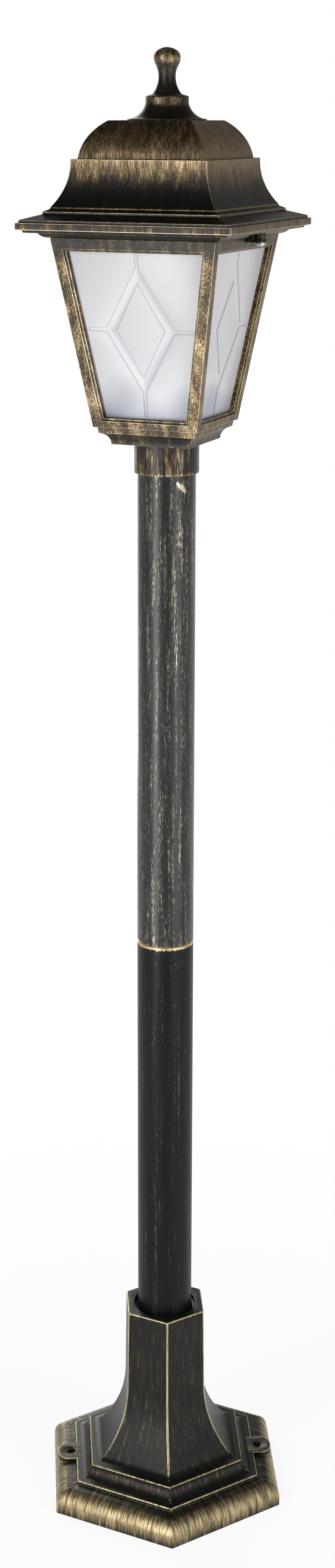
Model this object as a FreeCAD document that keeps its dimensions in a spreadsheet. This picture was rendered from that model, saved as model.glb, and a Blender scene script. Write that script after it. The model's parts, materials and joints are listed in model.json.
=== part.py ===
"""Garden post lamp: a square tapered lantern on a two-piece round pole and a hexagonal cast base.

Millimetres, +Z up. The origin is the middle of the base's foot, and the lantern's faces look along X and Y.
"""
import FreeCAD, Part
import math
import os
import re

import Sketcher
from FreeCAD import Vector

SIZES = {
    # Pole tubes and the fits on them
    "tube_dia": 38.0,
    "tube_wall": 2.0,
    "tube_edge": 1.2,
    "fit_gap": 0.15,
    "lower_tube_length": 350.0,
    "upper_tube_length": 334.5,
    # Spigot inside the pole's joint, and its screw
    "sleeve_wall": 2.0,
    "sleeve_length": 80.0,
    "joint_screw_drop": 13.3,
    "joint_screw_turn": 39.7,
    # Hexagonal base: half sizes are measured from the axis to a flat
    "base_turn": 26.4,
    "base_half": 80.0,
    "base_wall": 5.0,
    "rim_foot": 6.0,
    "rim_round": 11.5,
    "plinth_half": 64.8,
    "plinth_top": 20.3,
    "plinth_shelf": 3.6,
    "step_half": 54.2,
    "step_cove_round": 7.7,
    "step_lip": 2.0,
    "step_top": 29.3,
    "flare_round": 80.0,
    "flare_bend": 38.0,
    "toe_round": 8.0,
    "neck_half": 27.6,
    "socket_half": 26.8,
    "socket_top": 141.5,
    "socket_seat": 70.0,
    "socket_mouth_dia": 42.8,
    "socket_mouth_depth": 2.5,
    "shelf_thickness": 8.0,
    "hollow_draft": 2.0,
    "cable_hole_dia": 16.0,
    # Anchor ears on two flats of the base
    "ear_circle": 136.0,
    "ear_width": 20.0,
    "ear_reach": 78.0,
    "ear_round": 6.0,
    "anchor_hole_dia": 6.5,
    "anchor_recess_dia": 13.0,
    "anchor_recess_depth": 1.2,
    # Grub screw that holds the pole in the base
    "grub_dia": 6.0,
    "grub_length": 7.0,
    "grub_key": 3.0,
    "grub_key_depth": 3.0,
    "grub_height": 122.0,
    # Collar between the pole and the lantern
    "collar_dia": 42.0,
    "collar_web": 3.5,
    "collar_skirt": 16.0,
    "collar_screw_drop": 8.5,
    # Lantern frame: half sizes are measured from the axis to a face
    "foot_half": 26.5,
    "foot_cove": 7.0,
    "foot_cove_rise": 7.4,
    "band_low_half": 32.4,
    "band_high_half": 33.1,
    "foot_rise": 11.3,
    "foot_plate": 4.0,
    "well_half": 24.0,
    "frame_low_half": 35.1,
    "frame_top_half": 54.1,
    "frame_rise": 127.0,
    "frame_wall": 4.5,
    "post_width": 8.2,
    "top_rail": 8.0,
    "low_rail": 5.8,
    "sill_rise": 1.2,
    "reveal_width": 1.5,
    "reveal_depth": 1.3,
    # Lugs on the frame, and the screws that pull the roof down on them
    "lug_reach": 62.0,
    "lug_width": 9.0,
    "lug_thickness": 2.8,
    "roof_pilot_depth": 7.5,
    # Frosted panes, and the diamond band and strokes sunk in them
    "pane_thickness": 3.0,
    "pane_head_gap": 0.3,
    "diamond_height": 60.6,
    "diamond_half": 23.5,
    "diamond_rise": 41.0,
    "inner_diamond_half": 15.6,
    "inner_diamond_rise": 28.4,
    "groove_depth": 0.6,
    "stub_width": 2.8,
    "side_stub": 10.0,
    "top_stub": 4.4,
    "foot_stub": 12.0,
    # Angle strips that hold the panes in the corners
    "strip_leg": 9.0,
    "strip_thickness": 1.2,
    # Roof casting
    "roof_bed_half": 54.3,
    "ovolo_round": 7.0,
    "ovolo_half": 60.0,
    "soffit_rise": 3.3,
    "drip_half": 67.0,
    "eave_half": 69.9,
    "eave_low": 5.0,
    "eave_high": 9.3,
    "bead_half": 68.2,
    "bead_high": 10.9,
    "slope_half": 57.3,
    "slope_high": 14.1,
    "step_rise": 1.5,
    "cove_low_half": 53.8,
    "cove_low": 17.9,
    "cove_round": 42.5,
    "cove_high_half": 44.4,
    "cove_high": 44.5,
    "ledge_rise": 1.5,
    "dome_half": 41.2,
    "dome_round": 31.0,
    "crown_half": 27.2,
    "roof_rise": 68.3,
    "roof_wall": 5.5,
    "roof_mouth_half": 44.0,
    # Finial: radii
    "finial_flange": 24.4,
    "finial_edge": 0.8,
    "finial_flare": 12.0,
    "cup_radius": 13.4,
    "cup_low": 9.8,
    "cup_high": 13.2,
    "cup_round": 1.1,
    "finial_neck": 5.4,
    "finial_neck_height": 23.2,
    "neck_round": 9.5,
    "neck_spring": 9.0,
    "knob_radius": 8.3,
    "knob_foot": 7.1,
    "finial_rise": 42.4,
    # Fasteners
    "screw_dia": 4.0,
    "screw_head_dia": 6.2,
    "screw_head_rise": 2.4,
    "head_rim_share": 0.3,
    "screw_point": 1.0,
    "slot_width": 0.9,
    "slot_span": 3.6,
    "slot_depth": 0.9,
    "finial_screw_dia": 6.0,
    "finial_head_dia": 11.0,
    "finial_head_rise": 4.0,
    "finial_thread_depth": 8.0,
    "tap_spare": 1.0,
    "washer_dia": 16.0,
    "washer_thickness": 1.5,
    "nipple_dia": 10.0,
    "nipple_bore": 7.0,
    "nipple_tail": 14.0,
    "nipple_hold": 8.0,
    "nut_flats": 14.0,
    "nut_thickness": 5.0,
    # Lampholder, bulb and wiring
    "holder_foot_radius": 16.0,
    "holder_radius": 19.5,
    "holder_shoulder": 12.0,
    "holder_rise": 46.0,
    "holder_cup_radius": 14.6,
    "holder_cup_floor": 16.0,
    "shell_wall": 0.7,
    "shell_gap": 0.15,
    "shell_rise": 28.0,
    "contact_width": 5.0,
    "contact_reach": 9.0,
    "contact_strip": 0.8,
    "contact_rise": 2.4,
    "cap_gap": 0.4,
    "cap_rise": 25.0,
    "cap_tip": 4.0,
    "bulb_neck": 15.0,
    "globe_radius": 30.0,
    "bulb_rise": 103.0,
    "bulb_shoulder": 0.9,
    "lead_dia": 6.0,
    "lead_gap": 0.05,
    "lead_end_gap": 1.0,
    "grommet_lip": 2.5,
    "grommet_lip_thickness": 1.5,
    "block_length": 28.0,
    "block_width": 18.0,
    "block_rise": 13.0,
    "block_drop": 14.0,
    "block_pitch": 9.0,
    "block_hole_dia": 4.0,
    "block_hole_depth": 9.0,
}

# How far a cut runs past the stock, and how much a half round's radius exceeds half its width
CUT_SPARE = 2
ARC_SLACK = 1.0001

# Levels and slopes that several pieces share, as expressions of the sizes
BEND_HALF = "(neck_half + flare_round * (1 - cos(flare_bend)))"
BEND_RISE = "(step_top + toe_round * (1 - sin(flare_bend)))"
TOE_HALF = f"({BEND_HALF} + toe_round * cos(flare_bend))"
JOINT = "(socket_seat + lower_tube_length)"
POLE_TOP = f"({JOINT} + upper_tube_length)"
FOOT = f"({POLE_TOP} + collar_web)"
ROOF_BED = f"({FOOT} + frame_rise)"
CROWN = f"({ROOF_BED} + roof_rise)"
SILL = "(foot_rise + sill_rise)"
SLOPE = "((frame_top_half - frame_low_half) / (frame_rise - foot_rise))"
LEAN = f"(atan({SLOPE}) / 1 deg)"
PANE_DEPTH = f"(pane_thickness / cos({LEAN}))"
PANE_TOP = f"(frame_rise - pane_head_gap - pane_thickness * sin({LEAN}))"
TUBE_BORE = "(tube_dia / 2 - tube_wall)"
SOCKET_BORE = "(tube_dia / 2 + fit_gap)"
SLEEVE_OUT = f"({TUBE_BORE} - fit_gap)"
SCREW_HOLE = "(screw_dia / 2 + fit_gap)"
HOLDER_FOOT = f"({FOOT} + foot_plate + nut_thickness)"
BLOCK_TOP = "(socket_seat - shelf_thickness - block_drop)"

doc = FreeCAD.newDocument("garden_lamp")
sheet = doc.addObject("Spreadsheet::Sheet", "Sizes")
for row, (alias, value) in enumerate(SIZES.items(), start=1):
    sheet.set(f"A{row}", alias)
    sheet.set(f"B{row}", str(value))
    sheet.setAlias(f"B{row}", alias)
doc.recompute()

SUBPARTS = []


def bind(text):
    """The expression with each size's name written as a cell of the sheet."""
    return re.sub(r"[a-z_]+", lambda word: "Sizes." + word[0] if word[0] in SIZES else word[0], text)


def number(text):
    """The expression's value now, in millimetres or degrees."""
    value = sheet.evalExpression(bind(text))
    return float(getattr(value, "Value", value))


def frame_half(height):
    """Half width of the frame's tapered outside at a height above its foot."""
    return f"(frame_low_half + {SLOPE} * ({height} - foot_rise))"


def sub_part(name, lift="0", turn="0", tilt="0", place=("0", "0")):
    """A new body that is exported under its name, tilted about X, turned about Z, then set in place."""
    body = doc.addObject("PartDesign::Body", name)
    body.Label = name
    body.AllowCompound = True
    base = f"create(<<vector>>; {place[0]}; {place[1]}; {lift})"
    rotation = f"create(<<rotation>>; {turn}; 0; {tilt})"
    body.setExpression("Placement", bind(f"create(<<placement>>; {base}; {rotation})"))
    SUBPARTS.append(body)
    return body


def origin_feature(body, role):
    return next(feature for feature in body.Origin.OriginFeatures if feature.Role == role)


def sketch_on(body, plane, name, lift="0"):
    """A sketch on one of the body's own planes, raised along that plane's normal."""
    sketch = body.newObject("Sketcher::SketchObject", name)
    sketch.AttachmentSupport = (origin_feature(body, plane), "")
    sketch.MapMode = "FlatFace"
    sketch.setExpression("AttachmentOffset.Base.z", bind(lift))
    return sketch


def hold(sketch, constraint, text):
    """Adds a constraint and ties its value to an expression."""
    index = sketch.addConstraint(constraint)
    sketch.setExpression(f"Constraints[{index}]", bind(text))


def arc_between(start, end, radius):
    """The short arc from start to end: a positive radius turns left, a negative one right."""
    chord = end - start
    side = Vector(-chord.y, chord.x, 0).normalize()
    rise = math.sqrt(max(radius ** 2 - (chord.Length / 2) ** 2, 0))
    centre = (start + end) / 2 + side * math.copysign(rise, radius)
    first, last = (start, end) if radius > 0 else (end, start)
    angles = [math.atan2(p.y - centre.y, p.x - centre.x) for p in (first, last)]
    if angles[1] <= angles[0]:
        angles[1] += 2 * math.pi
    return Part.ArcOfCircle(Part.Circle(centre, Vector(0, 0, 1), abs(radius)), *angles)


def draw(sketch, corners):
    """A closed outline whose corners (x, y) are expressions.

    A third entry is the radius of the arc that leads on from that corner, minus where it turns right.
    """
    points = [Vector(number(corner[0]), number(corner[1]), 0) for corner in corners]
    edges = []
    for index, corner in enumerate(corners):
        start = points[index]
        end = points[(index + 1) % len(points)]
        if len(corner) == 3:
            radius = number(corner[2])
            geometry = sketch.addGeometry(arc_between(start, end, radius))
            ends = (1, 2) if radius > 0 else (2, 1)
            hold(sketch, Sketcher.Constraint("Radius", geometry, abs(radius)), f"abs({corner[2]})")
        else:
            geometry = sketch.addGeometry(Part.LineSegment(start, end))
            ends = (1, 2)
        edges.append((geometry, ends))
    for index, (geometry, ends) in enumerate(edges):
        before, before_ends = edges[index - 1]
        sketch.addConstraint(Sketcher.Constraint("Coincident", before, before_ends[1], geometry, ends[0]))
        for axis, text in (("DistanceX", corners[index][0]), ("DistanceY", corners[index][1])):
            hold(sketch, Sketcher.Constraint(axis, -1, 1, geometry, ends[0], number(text)), text)


def half_turn(width):
    """Radius of the arc that rounds off an end of this width."""
    return f"{width} / 2 * {ARC_SLACK}"


def draw_circle(sketch, radius, x="0", y="0"):
    circle = Part.Circle(Vector(number(x), number(y), 0), Vector(0, 0, 1), number(radius))
    geometry = sketch.addGeometry(circle)
    hold(sketch, Sketcher.Constraint("Radius", geometry, number(radius)), radius)
    for axis, text in (("DistanceX", x), ("DistanceY", y)):
        hold(sketch, Sketcher.Constraint(axis, -1, 1, geometry, 3, number(text)), text)


def draw_box(sketch, x_low, x_high, y_low, y_high):
    draw(sketch, [(x_low, y_low), (x_high, y_low), (x_high, y_high), (x_low, y_high)])


def draw_polygon(sketch, sides, half, first="0"):
    """A regular polygon by its half width across flats, with one corner at the first angle."""
    reach = f"({half}) / cos({180 / sides})"
    corners = []
    for index in range(sides):
        angle = f"({first} + {360 / sides * index})"
        corners.append((f"{reach} * cos({angle})", f"{reach} * sin({angle})"))
    draw(sketch, corners)


def add_feature(body, kind, sketch, length, both_ways=False, reverse=False):
    """A Pad or Pocket of the sketch."""
    feature = body.newObject(f"PartDesign::{kind}", f"{sketch.Name}_{kind}")
    feature.Profile = sketch
    feature.SideType = "Symmetric" if both_ways else "One side"
    feature.setExpression("Length", bind(length))
    feature.Reversed = reverse
    return feature


def turned(body, kind, sketch):
    """A Revolution or Groove of the sketch about its upright axis."""
    feature = body.newObject(f"PartDesign::{kind}", f"{sketch.Name}_{kind}")
    feature.Profile = sketch
    feature.ReferenceAxis = (sketch, ["V_Axis"])
    feature.Angle = 360
    return feature


def around(body, features, count, whole=False):
    """The features repeated evenly about the body's Z axis."""
    pattern = body.newObject("PartDesign::PolarPattern", f"{features[0].Name}_around")
    pattern.Originals = features
    pattern.TransformMode = "Whole shape" if whole else "Features"
    pattern.Axis = (origin_feature(body, "Z_Axis"), [""])
    pattern.Angle = 360
    pattern.Occurrences = count
    body.Tip = pattern
    return pattern


def lofted(body, kind, sections):
    """An AdditiveLoft or SubtractiveLoft with flat sides through the sections."""
    feature = body.newObject(f"PartDesign::{kind}", f"{sections[0].Name}_{kind}")
    feature.Profile = sections[0]
    feature.Sections = sections[1:]
    feature.Ruled = True
    return feature


def moulded_stock(body, sides, half, rise, profile):
    """A regular prism with one moulding cut along every side.

    The profile runs up the moulding from the foot to the top, as (half width, height) corners.
    """
    stock = sketch_on(body, "XY_Plane", "stock")
    draw_polygon(stock, sides, f"({half} + {CUT_SPARE})", first=str(180 / sides))
    add_feature(body, "Pad", stock, rise)
    moulding = sketch_on(body, "XZ_Plane", "moulding")
    outside = f"({half} + 2 * {CUT_SPARE})"
    draw(moulding, profile + [(outside, rise), (outside, "0")])
    cut = add_feature(body, "Pocket", moulding, f"4 * {half}", both_ways=True)
    around(body, [cut], sides)


def hole_through(body, name, plane, radius, length, x="0", y="0", lift="0", reverse=False):
    sketch = sketch_on(body, plane, name, lift)
    draw_circle(sketch, radius, x, y)
    return add_feature(body, "Pocket", sketch, length, reverse=reverse)


def make_base():
    """Hollow hexagonal casting: rim, plinth, step and flared neck, with two anchor ears."""
    body = sub_part("base", turn="base_turn")
    rim_top = "(rim_foot + rim_round)"
    profile = [
        ("base_half", "0"),
        ("base_half", "rim_foot", "rim_round"),
        ("base_half - rim_round", rim_top),
        ("plinth_half", rim_top),
        ("plinth_half", "plinth_top"),
        ("plinth_half - plinth_shelf", "plinth_top", "-step_cove_round"),
        ("step_half", "step_top - step_lip"),
        ("step_half", "step_top"),
        (TOE_HALF, "step_top", "-toe_round"),
        (BEND_HALF, BEND_RISE, "-flare_round"),
        ("neck_half", f"{BEND_RISE} + flare_round * sin(flare_bend)"),
        ("socket_half", "socket_top"),
    ]
    moulded_stock(body, 6, "base_half", "socket_top", profile)
    hollow = [
        ("0", "base_half - base_wall"),
        ("rim_foot", "base_half - base_wall"),
        (f"{rim_top} - base_wall", "plinth_half"),
        ("step_top - base_wall", f"{TOE_HALF} - 2 * base_wall"),
        (BEND_RISE, f"{BEND_HALF} - base_wall"),
        ("socket_seat - shelf_thickness", "socket_half - base_wall - hollow_draft"),
    ]
    sections = []
    for index, (height, half) in enumerate(hollow):
        section = sketch_on(body, "XY_Plane", f"hollow_{index}", lift=height)
        draw_polygon(section, 6, half, first="30")
        sections.append(section)
    lofted(body, "SubtractiveLoft", sections)
    ear = sketch_on(body, "XY_Plane", "ear")
    draw(ear, [
        ("plinth_half - base_wall", "-ear_width / 2"),
        ("ear_reach - ear_round", "-ear_width / 2", "ear_round"),
        ("ear_reach", "-ear_width / 2 + ear_round"),
        ("ear_reach", "ear_width / 2 - ear_round", "ear_round"),
        ("ear_reach - ear_round", "ear_width / 2"),
        ("plinth_half - base_wall", "ear_width / 2"),
    ])
    ear_pad = add_feature(body, "Pad", ear, "plinth_top")
    recess = hole_through(body, "anchor_recess", "XY_Plane", "anchor_recess_dia / 2", "anchor_recess_depth",
                          x="ear_circle / 2", lift="plinth_top")
    anchor = hole_through(body, "anchor_hole", "XY_Plane", "anchor_hole_dia / 2", "plinth_top",
                          x="ear_circle / 2", lift="plinth_top")
    around(body, [ear_pad, recess, anchor], 2)
    hole_through(body, "socket_mouth", "XY_Plane", "socket_mouth_dia / 2", "socket_mouth_depth",
                 lift="socket_top")
    hole_through(body, "socket", "XY_Plane", SOCKET_BORE, "socket_top - socket_seat", lift="socket_top")
    hole_through(body, "cable_hole", "XY_Plane", "cable_hole_dia / 2", "socket_top", lift="socket_top")
    grub = sketch_on(body, "YZ_Plane", "grub_hole")
    draw_circle(grub, "grub_dia / 2 + fit_gap / 2", y="grub_height")
    add_feature(body, "Pocket", grub, "socket_half * 2")


def make_grub_screw():
    """Headless screw in the neck's left flat that bears on the pole."""
    body = sub_part("pole_grub_screw", turn="base_turn")
    core = sketch_on(body, "YZ_Plane", "core", lift="-tube_dia / 2 - fit_gap / 2")
    draw_circle(core, "grub_dia / 2", y="grub_height")
    add_feature(body, "Pad", core, "grub_length", reverse=True)
    key = sketch_on(body, "YZ_Plane", "key", lift="-tube_dia / 2 - fit_gap / 2 - grub_length")
    reach = "grub_key / 2 / cos(30)"
    draw(key, [(f"{reach} * cos({angle})", f"grub_height + {reach} * sin({angle})")
               for angle in range(0, 360, 60)])
    add_feature(body, "Pocket", key, "grub_key_depth", reverse=True)


def make_grommet():
    """Rubber grommet that seats the lead in the base's shelf."""
    body = sub_part("cable_grommet", lift="socket_seat - shelf_thickness")
    section = sketch_on(body, "XZ_Plane", "section")
    bore = "lead_dia / 2 + lead_gap"
    groove = "cable_hole_dia / 2 - lead_gap"
    lip = "cable_hole_dia / 2 + grommet_lip"
    draw(section, [
        (bore, "-grommet_lip_thickness"),
        (lip, "-grommet_lip_thickness"),
        (lip, "0"),
        (groove, "0"),
        (groove, "shelf_thickness"),
        (lip, "shelf_thickness"),
        (lip, "shelf_thickness + grommet_lip_thickness"),
        (bore, "shelf_thickness + grommet_lip_thickness"),
    ])
    turned(body, "Revolution", section)


def make_lower_tube():
    """Lower half of the pole, its top edge rolled, with a hole for the joint's screw."""
    body = sub_part("lower_tube", lift="socket_seat", turn="joint_screw_turn")
    section = sketch_on(body, "XZ_Plane", "section")
    draw(section, [
        (TUBE_BORE, "0"),
        ("tube_dia / 2", "0"),
        ("tube_dia / 2", "lower_tube_length - tube_edge", "tube_edge"),
        ("tube_dia / 2 - tube_edge", "lower_tube_length"),
        (TUBE_BORE, "lower_tube_length"),
    ])
    turned(body, "Revolution", section)
    hole_through(body, "screw_hole", "XZ_Plane", SCREW_HOLE, "tube_dia",
                 y="lower_tube_length - joint_screw_drop", reverse=True)


def make_upper_tube():
    """Upper half of the pole, with a hole behind for the collar's screw."""
    body = sub_part("upper_tube", lift=JOINT)
    section = sketch_on(body, "XZ_Plane", "section")
    draw(section, [
        (TUBE_BORE, "0"),
        ("tube_dia / 2 - tube_edge / 2", "0"),
        ("tube_dia / 2", "tube_edge / 2"),
        ("tube_dia / 2", "upper_tube_length"),
        (TUBE_BORE, "upper_tube_length"),
    ])
    turned(body, "Revolution", section)
    hole_through(body, "screw_hole", "XZ_Plane", SCREW_HOLE, "tube_dia",
                 y="upper_tube_length - collar_screw_drop")


def make_sleeve():
    """Spigot that lines up the two tubes inside the joint."""
    body = sub_part("joint_sleeve", lift=f"{JOINT} - sleeve_length / 2", turn="joint_screw_turn")
    section = sketch_on(body, "XZ_Plane", "section")
    draw_box(section, f"{SLEEVE_OUT} - sleeve_wall", SLEEVE_OUT, "0", "sleeve_length")
    turned(body, "Revolution", section)
    hole_through(body, "screw_hole", "XZ_Plane", SCREW_HOLE, "tube_dia",
                 y="sleeve_length / 2 - joint_screw_drop", reverse=True)


def screw_section(head, head_rise, shank, length):
    """Half section of a low domed screw: its head stands on Z = 0 and its shank points down."""
    rim = f"(({head_rise}) * head_rim_share)"
    crown = f"({head_rise} - {rim})"
    return [
        ("0", f"-({length})"),
        (shank, f"-({length})"),
        (shank, "0"),
        (head, "0"),
        (head, rim, f"(({head})^2 + {crown}^2) / (2 * {crown})"),
        ("0", head_rise),
    ]


def cross_slot(body, depth, lift, x="0"):
    """Crossed driver slots sunk into a screw's head."""
    for name, across, along in (("slot_x", "slot_span", "slot_width"),
                                ("slot_y", "slot_width", "slot_span")):
        slot = sketch_on(body, "XY_Plane", name, lift=lift)
        draw_box(slot, f"{x} - {across} / 2", f"{x} + {across} / 2", f"-{along} / 2", f"{along} / 2")
        add_feature(body, "Pocket", slot, depth)


def make_joint_screw():
    """Blackened cross-head screw in the front of the joint."""
    radius = "tube_dia / 2"
    body = sub_part("joint_screw", lift=f"{JOINT} - joint_screw_drop", turn="joint_screw_turn", tilt="90",
                    place=(f"{radius} * sin(joint_screw_turn)", f"-{radius} * cos(joint_screw_turn)"))
    section = sketch_on(body, "XZ_Plane", "section")
    draw(section, screw_section("screw_head_dia / 2", "screw_head_rise / 2", "screw_dia / 2",
                                "tube_wall + fit_gap + sleeve_wall + screw_point"))
    turned(body, "Revolution", section)
    cross_slot(body, "slot_depth", "screw_head_rise / 2")


def make_collar():
    """Capped socket that joins the pole's top to the lantern's foot."""
    body = sub_part("lantern_collar", lift=POLE_TOP)
    section = sketch_on(body, "XZ_Plane", "section")
    draw(section, [
        ("nipple_dia / 2 + fit_gap", "0"),
        (SOCKET_BORE, "0"),
        (SOCKET_BORE, "-collar_skirt"),
        ("collar_dia / 2", "-collar_skirt"),
        ("collar_dia / 2", "collar_web"),
        ("nipple_dia / 2 + fit_gap", "collar_web"),
    ])
    turned(body, "Revolution", section)
    hole_through(body, "screw_hole", "XZ_Plane", SCREW_HOLE, "collar_dia", y="-collar_screw_drop")


def make_collar_screw():
    """Screw behind the collar that stops the lantern turning on the pole."""
    body = sub_part("collar_screw", lift=f"{POLE_TOP} - collar_screw_drop", turn="180", tilt="90",
                    place=("0", "collar_dia / 2"))
    section = sketch_on(body, "XZ_Plane", "section")
    draw(section, screw_section("screw_head_dia / 2", "screw_head_rise", "screw_dia / 2",
                                f"collar_dia / 2 - {TUBE_BORE} + screw_point"))
    turned(body, "Revolution", section)
    cross_slot(body, "slot_depth", "screw_head_rise")


def wall_slab(body, kind, name, levels, half_width, depths):
    """A flat-sided slab that follows the front wall's lean between two heights.

    half_width gives the slab's half width at a height, and depths its outer and inner distance from the
    wall's outside.
    """
    sections = []
    for index, height in enumerate(levels):
        section = sketch_on(body, "XY_Plane", f"{name}_{index}", lift=height)
        half = half_width(height)
        face = frame_half(height)
        draw_box(section, f"-({half})", half, f"-({face}) + ({depths[0]})", f"-({face}) + ({depths[1]})")
        sections.append(section)
    return lofted(body, kind, sections)


def make_frame():
    """Tapered lantern casting: moulded foot, four windows with a stepped reveal, and two roof lugs."""
    body = sub_part("lantern_frame", lift=FOOT)
    profile = [
        ("foot_half", "0", "-foot_cove"),
        ("band_low_half", "foot_cove_rise"),
        ("band_high_half", "foot_rise"),
        ("frame_low_half", "foot_rise"),
        ("frame_top_half", "frame_rise"),
    ]
    moulded_stock(body, 4, "frame_top_half", "frame_rise", profile)
    room = []
    for index, height in enumerate((SILL, "frame_rise")):
        section = sketch_on(body, "XY_Plane", f"room_{index}", lift=height)
        draw_polygon(section, 4, f"{frame_half(height)} - frame_wall", first="45")
        room.append(section)
    lofted(body, "SubtractiveLoft", room)
    well = sketch_on(body, "XY_Plane", "well", lift=SILL)
    draw_polygon(well, 4, "well_half", first="45")
    add_feature(body, "Pocket", well, f"{SILL} - foot_plate")
    hole_through(body, "nipple_hole", "XY_Plane", "nipple_dia / 2 + fit_gap", "foot_plate * 2",
                 lift="foot_plate")
    levels = ("(foot_rise + low_rail)", "(frame_rise - top_rail)")
    window = wall_slab(body, "SubtractiveLoft", "window", levels,
                       lambda height: f"{frame_half(height)} - post_width",
                       (f"-{CUT_SPARE}", f"frame_wall + {CUT_SPARE}"))
    reveal_levels = (f"{levels[0]} - reveal_width", f"{levels[1]} + reveal_width")
    reveal = wall_slab(body, "SubtractiveLoft", "reveal", reveal_levels,
                       lambda height: f"{frame_half(height)} - post_width + reveal_width",
                       (f"-{CUT_SPARE}", "reveal_depth"))
    around(body, [window, reveal], 4)
    lug = sketch_on(body, "XY_Plane", "lug", lift="frame_rise - lug_thickness")
    draw(lug, [
        ("frame_top_half - frame_wall / 2", "-lug_width / 2"),
        ("lug_reach", "-lug_width / 2", half_turn("lug_width")),
        ("lug_reach", "lug_width / 2"),
        ("frame_top_half - frame_wall / 2", "lug_width / 2"),
    ])
    lug_pad = add_feature(body, "Pad", lug, "lug_thickness")
    lug_hole = hole_through(body, "lug_hole", "XY_Plane", SCREW_HOLE, "lug_thickness * 2",
                            x="lug_reach", lift="frame_rise")
    around(body, [lug_pad, lug_hole], 2)


def diamond_groove(body):
    """A band between two nested diamonds, sunk in the pane's outer face."""
    sketch = sketch_on(body, "XY_Plane", "diamond_band")
    for half, rise in (("diamond_half", "diamond_rise"), ("inner_diamond_half", "inner_diamond_rise")):
        draw(sketch, [
            (half, "diamond_height"),
            ("0", f"diamond_height + {rise}"),
            (f"-{half}", "diamond_height"),
            ("0", f"diamond_height - {rise}"),
        ])
    add_feature(body, "Pocket", sketch, "groove_depth")


def stub_groove(body, name, start, end):
    """A round-ended groove between two points, upright or level, in the pane's outer face."""
    sketch = sketch_on(body, "XY_Plane", name)
    half = "stub_width / 2"
    bend = half_turn("stub_width")
    if start[1] == end[1]:
        draw(sketch, [
            (start[0], f"{start[1]} - {half}"),
            (end[0], f"{end[1]} - {half}", bend),
            (end[0], f"{end[1]} + {half}"),
            (start[0], f"{start[1]} + {half}", bend),
        ])
    else:
        draw(sketch, [
            (f"{start[0]} + {half}", start[1]),
            (f"{end[0]} + {half}", end[1], bend),
            (f"{end[0]} - {half}", end[1]),
            (f"{start[0]} - {half}", start[1], bend),
        ])
    add_feature(body, "Pocket", sketch, "groove_depth")


def make_pane(name, turn, side_gap):
    """Flat frosted pane with a sunk diamond band, leaned against the inside of one wall."""
    seat = f"({frame_half(SILL)} - frame_wall)"
    body = sub_part(name, lift=f"{FOOT} + {SILL}", turn=turn, tilt=f"90 + {LEAN}",
                    place=(f"{seat} * sin({turn})", f"-{seat} * cos({turn})"))
    rise = f"(({PANE_TOP} - {SILL}) / cos({LEAN}))"
    low = f"({seat} - {side_gap})"
    high = f"({frame_half(PANE_TOP)} - frame_wall - {side_gap})"
    blank = sketch_on(body, "XY_Plane", "blank")
    draw(blank, [(f"-{low}", "0"), (low, "0"), (high, rise), (f"-{high}", rise)])
    add_feature(body, "Pad", blank, "pane_thickness", reverse=True)
    diamond_groove(body)
    top = "diamond_height + diamond_rise"
    foot = "diamond_height - diamond_rise"
    stub_groove(body, "right_stub", ("diamond_half", "diamond_height"),
                ("diamond_half + side_stub", "diamond_height"))
    stub_groove(body, "left_stub", ("-diamond_half - side_stub", "diamond_height"),
                ("-diamond_half", "diamond_height"))
    stub_groove(body, "top_stub", ("0", top), ("0", f"{top} + top_stub"))
    stub_groove(body, "foot_stub", ("0", f"{foot} - foot_stub"), ("0", foot))


def make_strips():
    """Four bent angle strips that hold the panes' edges into the lantern's corners."""
    body = sub_part("pane_strips", lift=FOOT)
    sections = []
    for index, height in enumerate((SILL, PANE_TOP)):
        corner = f"({frame_half(height)} - frame_wall - {PANE_DEPTH} - 2 * fit_gap)"
        section = sketch_on(body, "XY_Plane", f"strip_{index}", lift=height)
        draw(section, [
            (corner, f"-{corner}"),
            (corner, f"-{corner} + strip_leg"),
            (f"{corner} - strip_thickness", f"-{corner} + strip_leg"),
            (f"{corner} - strip_thickness", f"-{corner} + strip_thickness"),
            (f"{corner} - strip_leg", f"-{corner} + strip_thickness"),
            (f"{corner} - strip_leg", f"-{corner}"),
        ])
        sections.append(section)
    strip = lofted(body, "AdditiveLoft", sections)
    around(body, [strip], 4)


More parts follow.
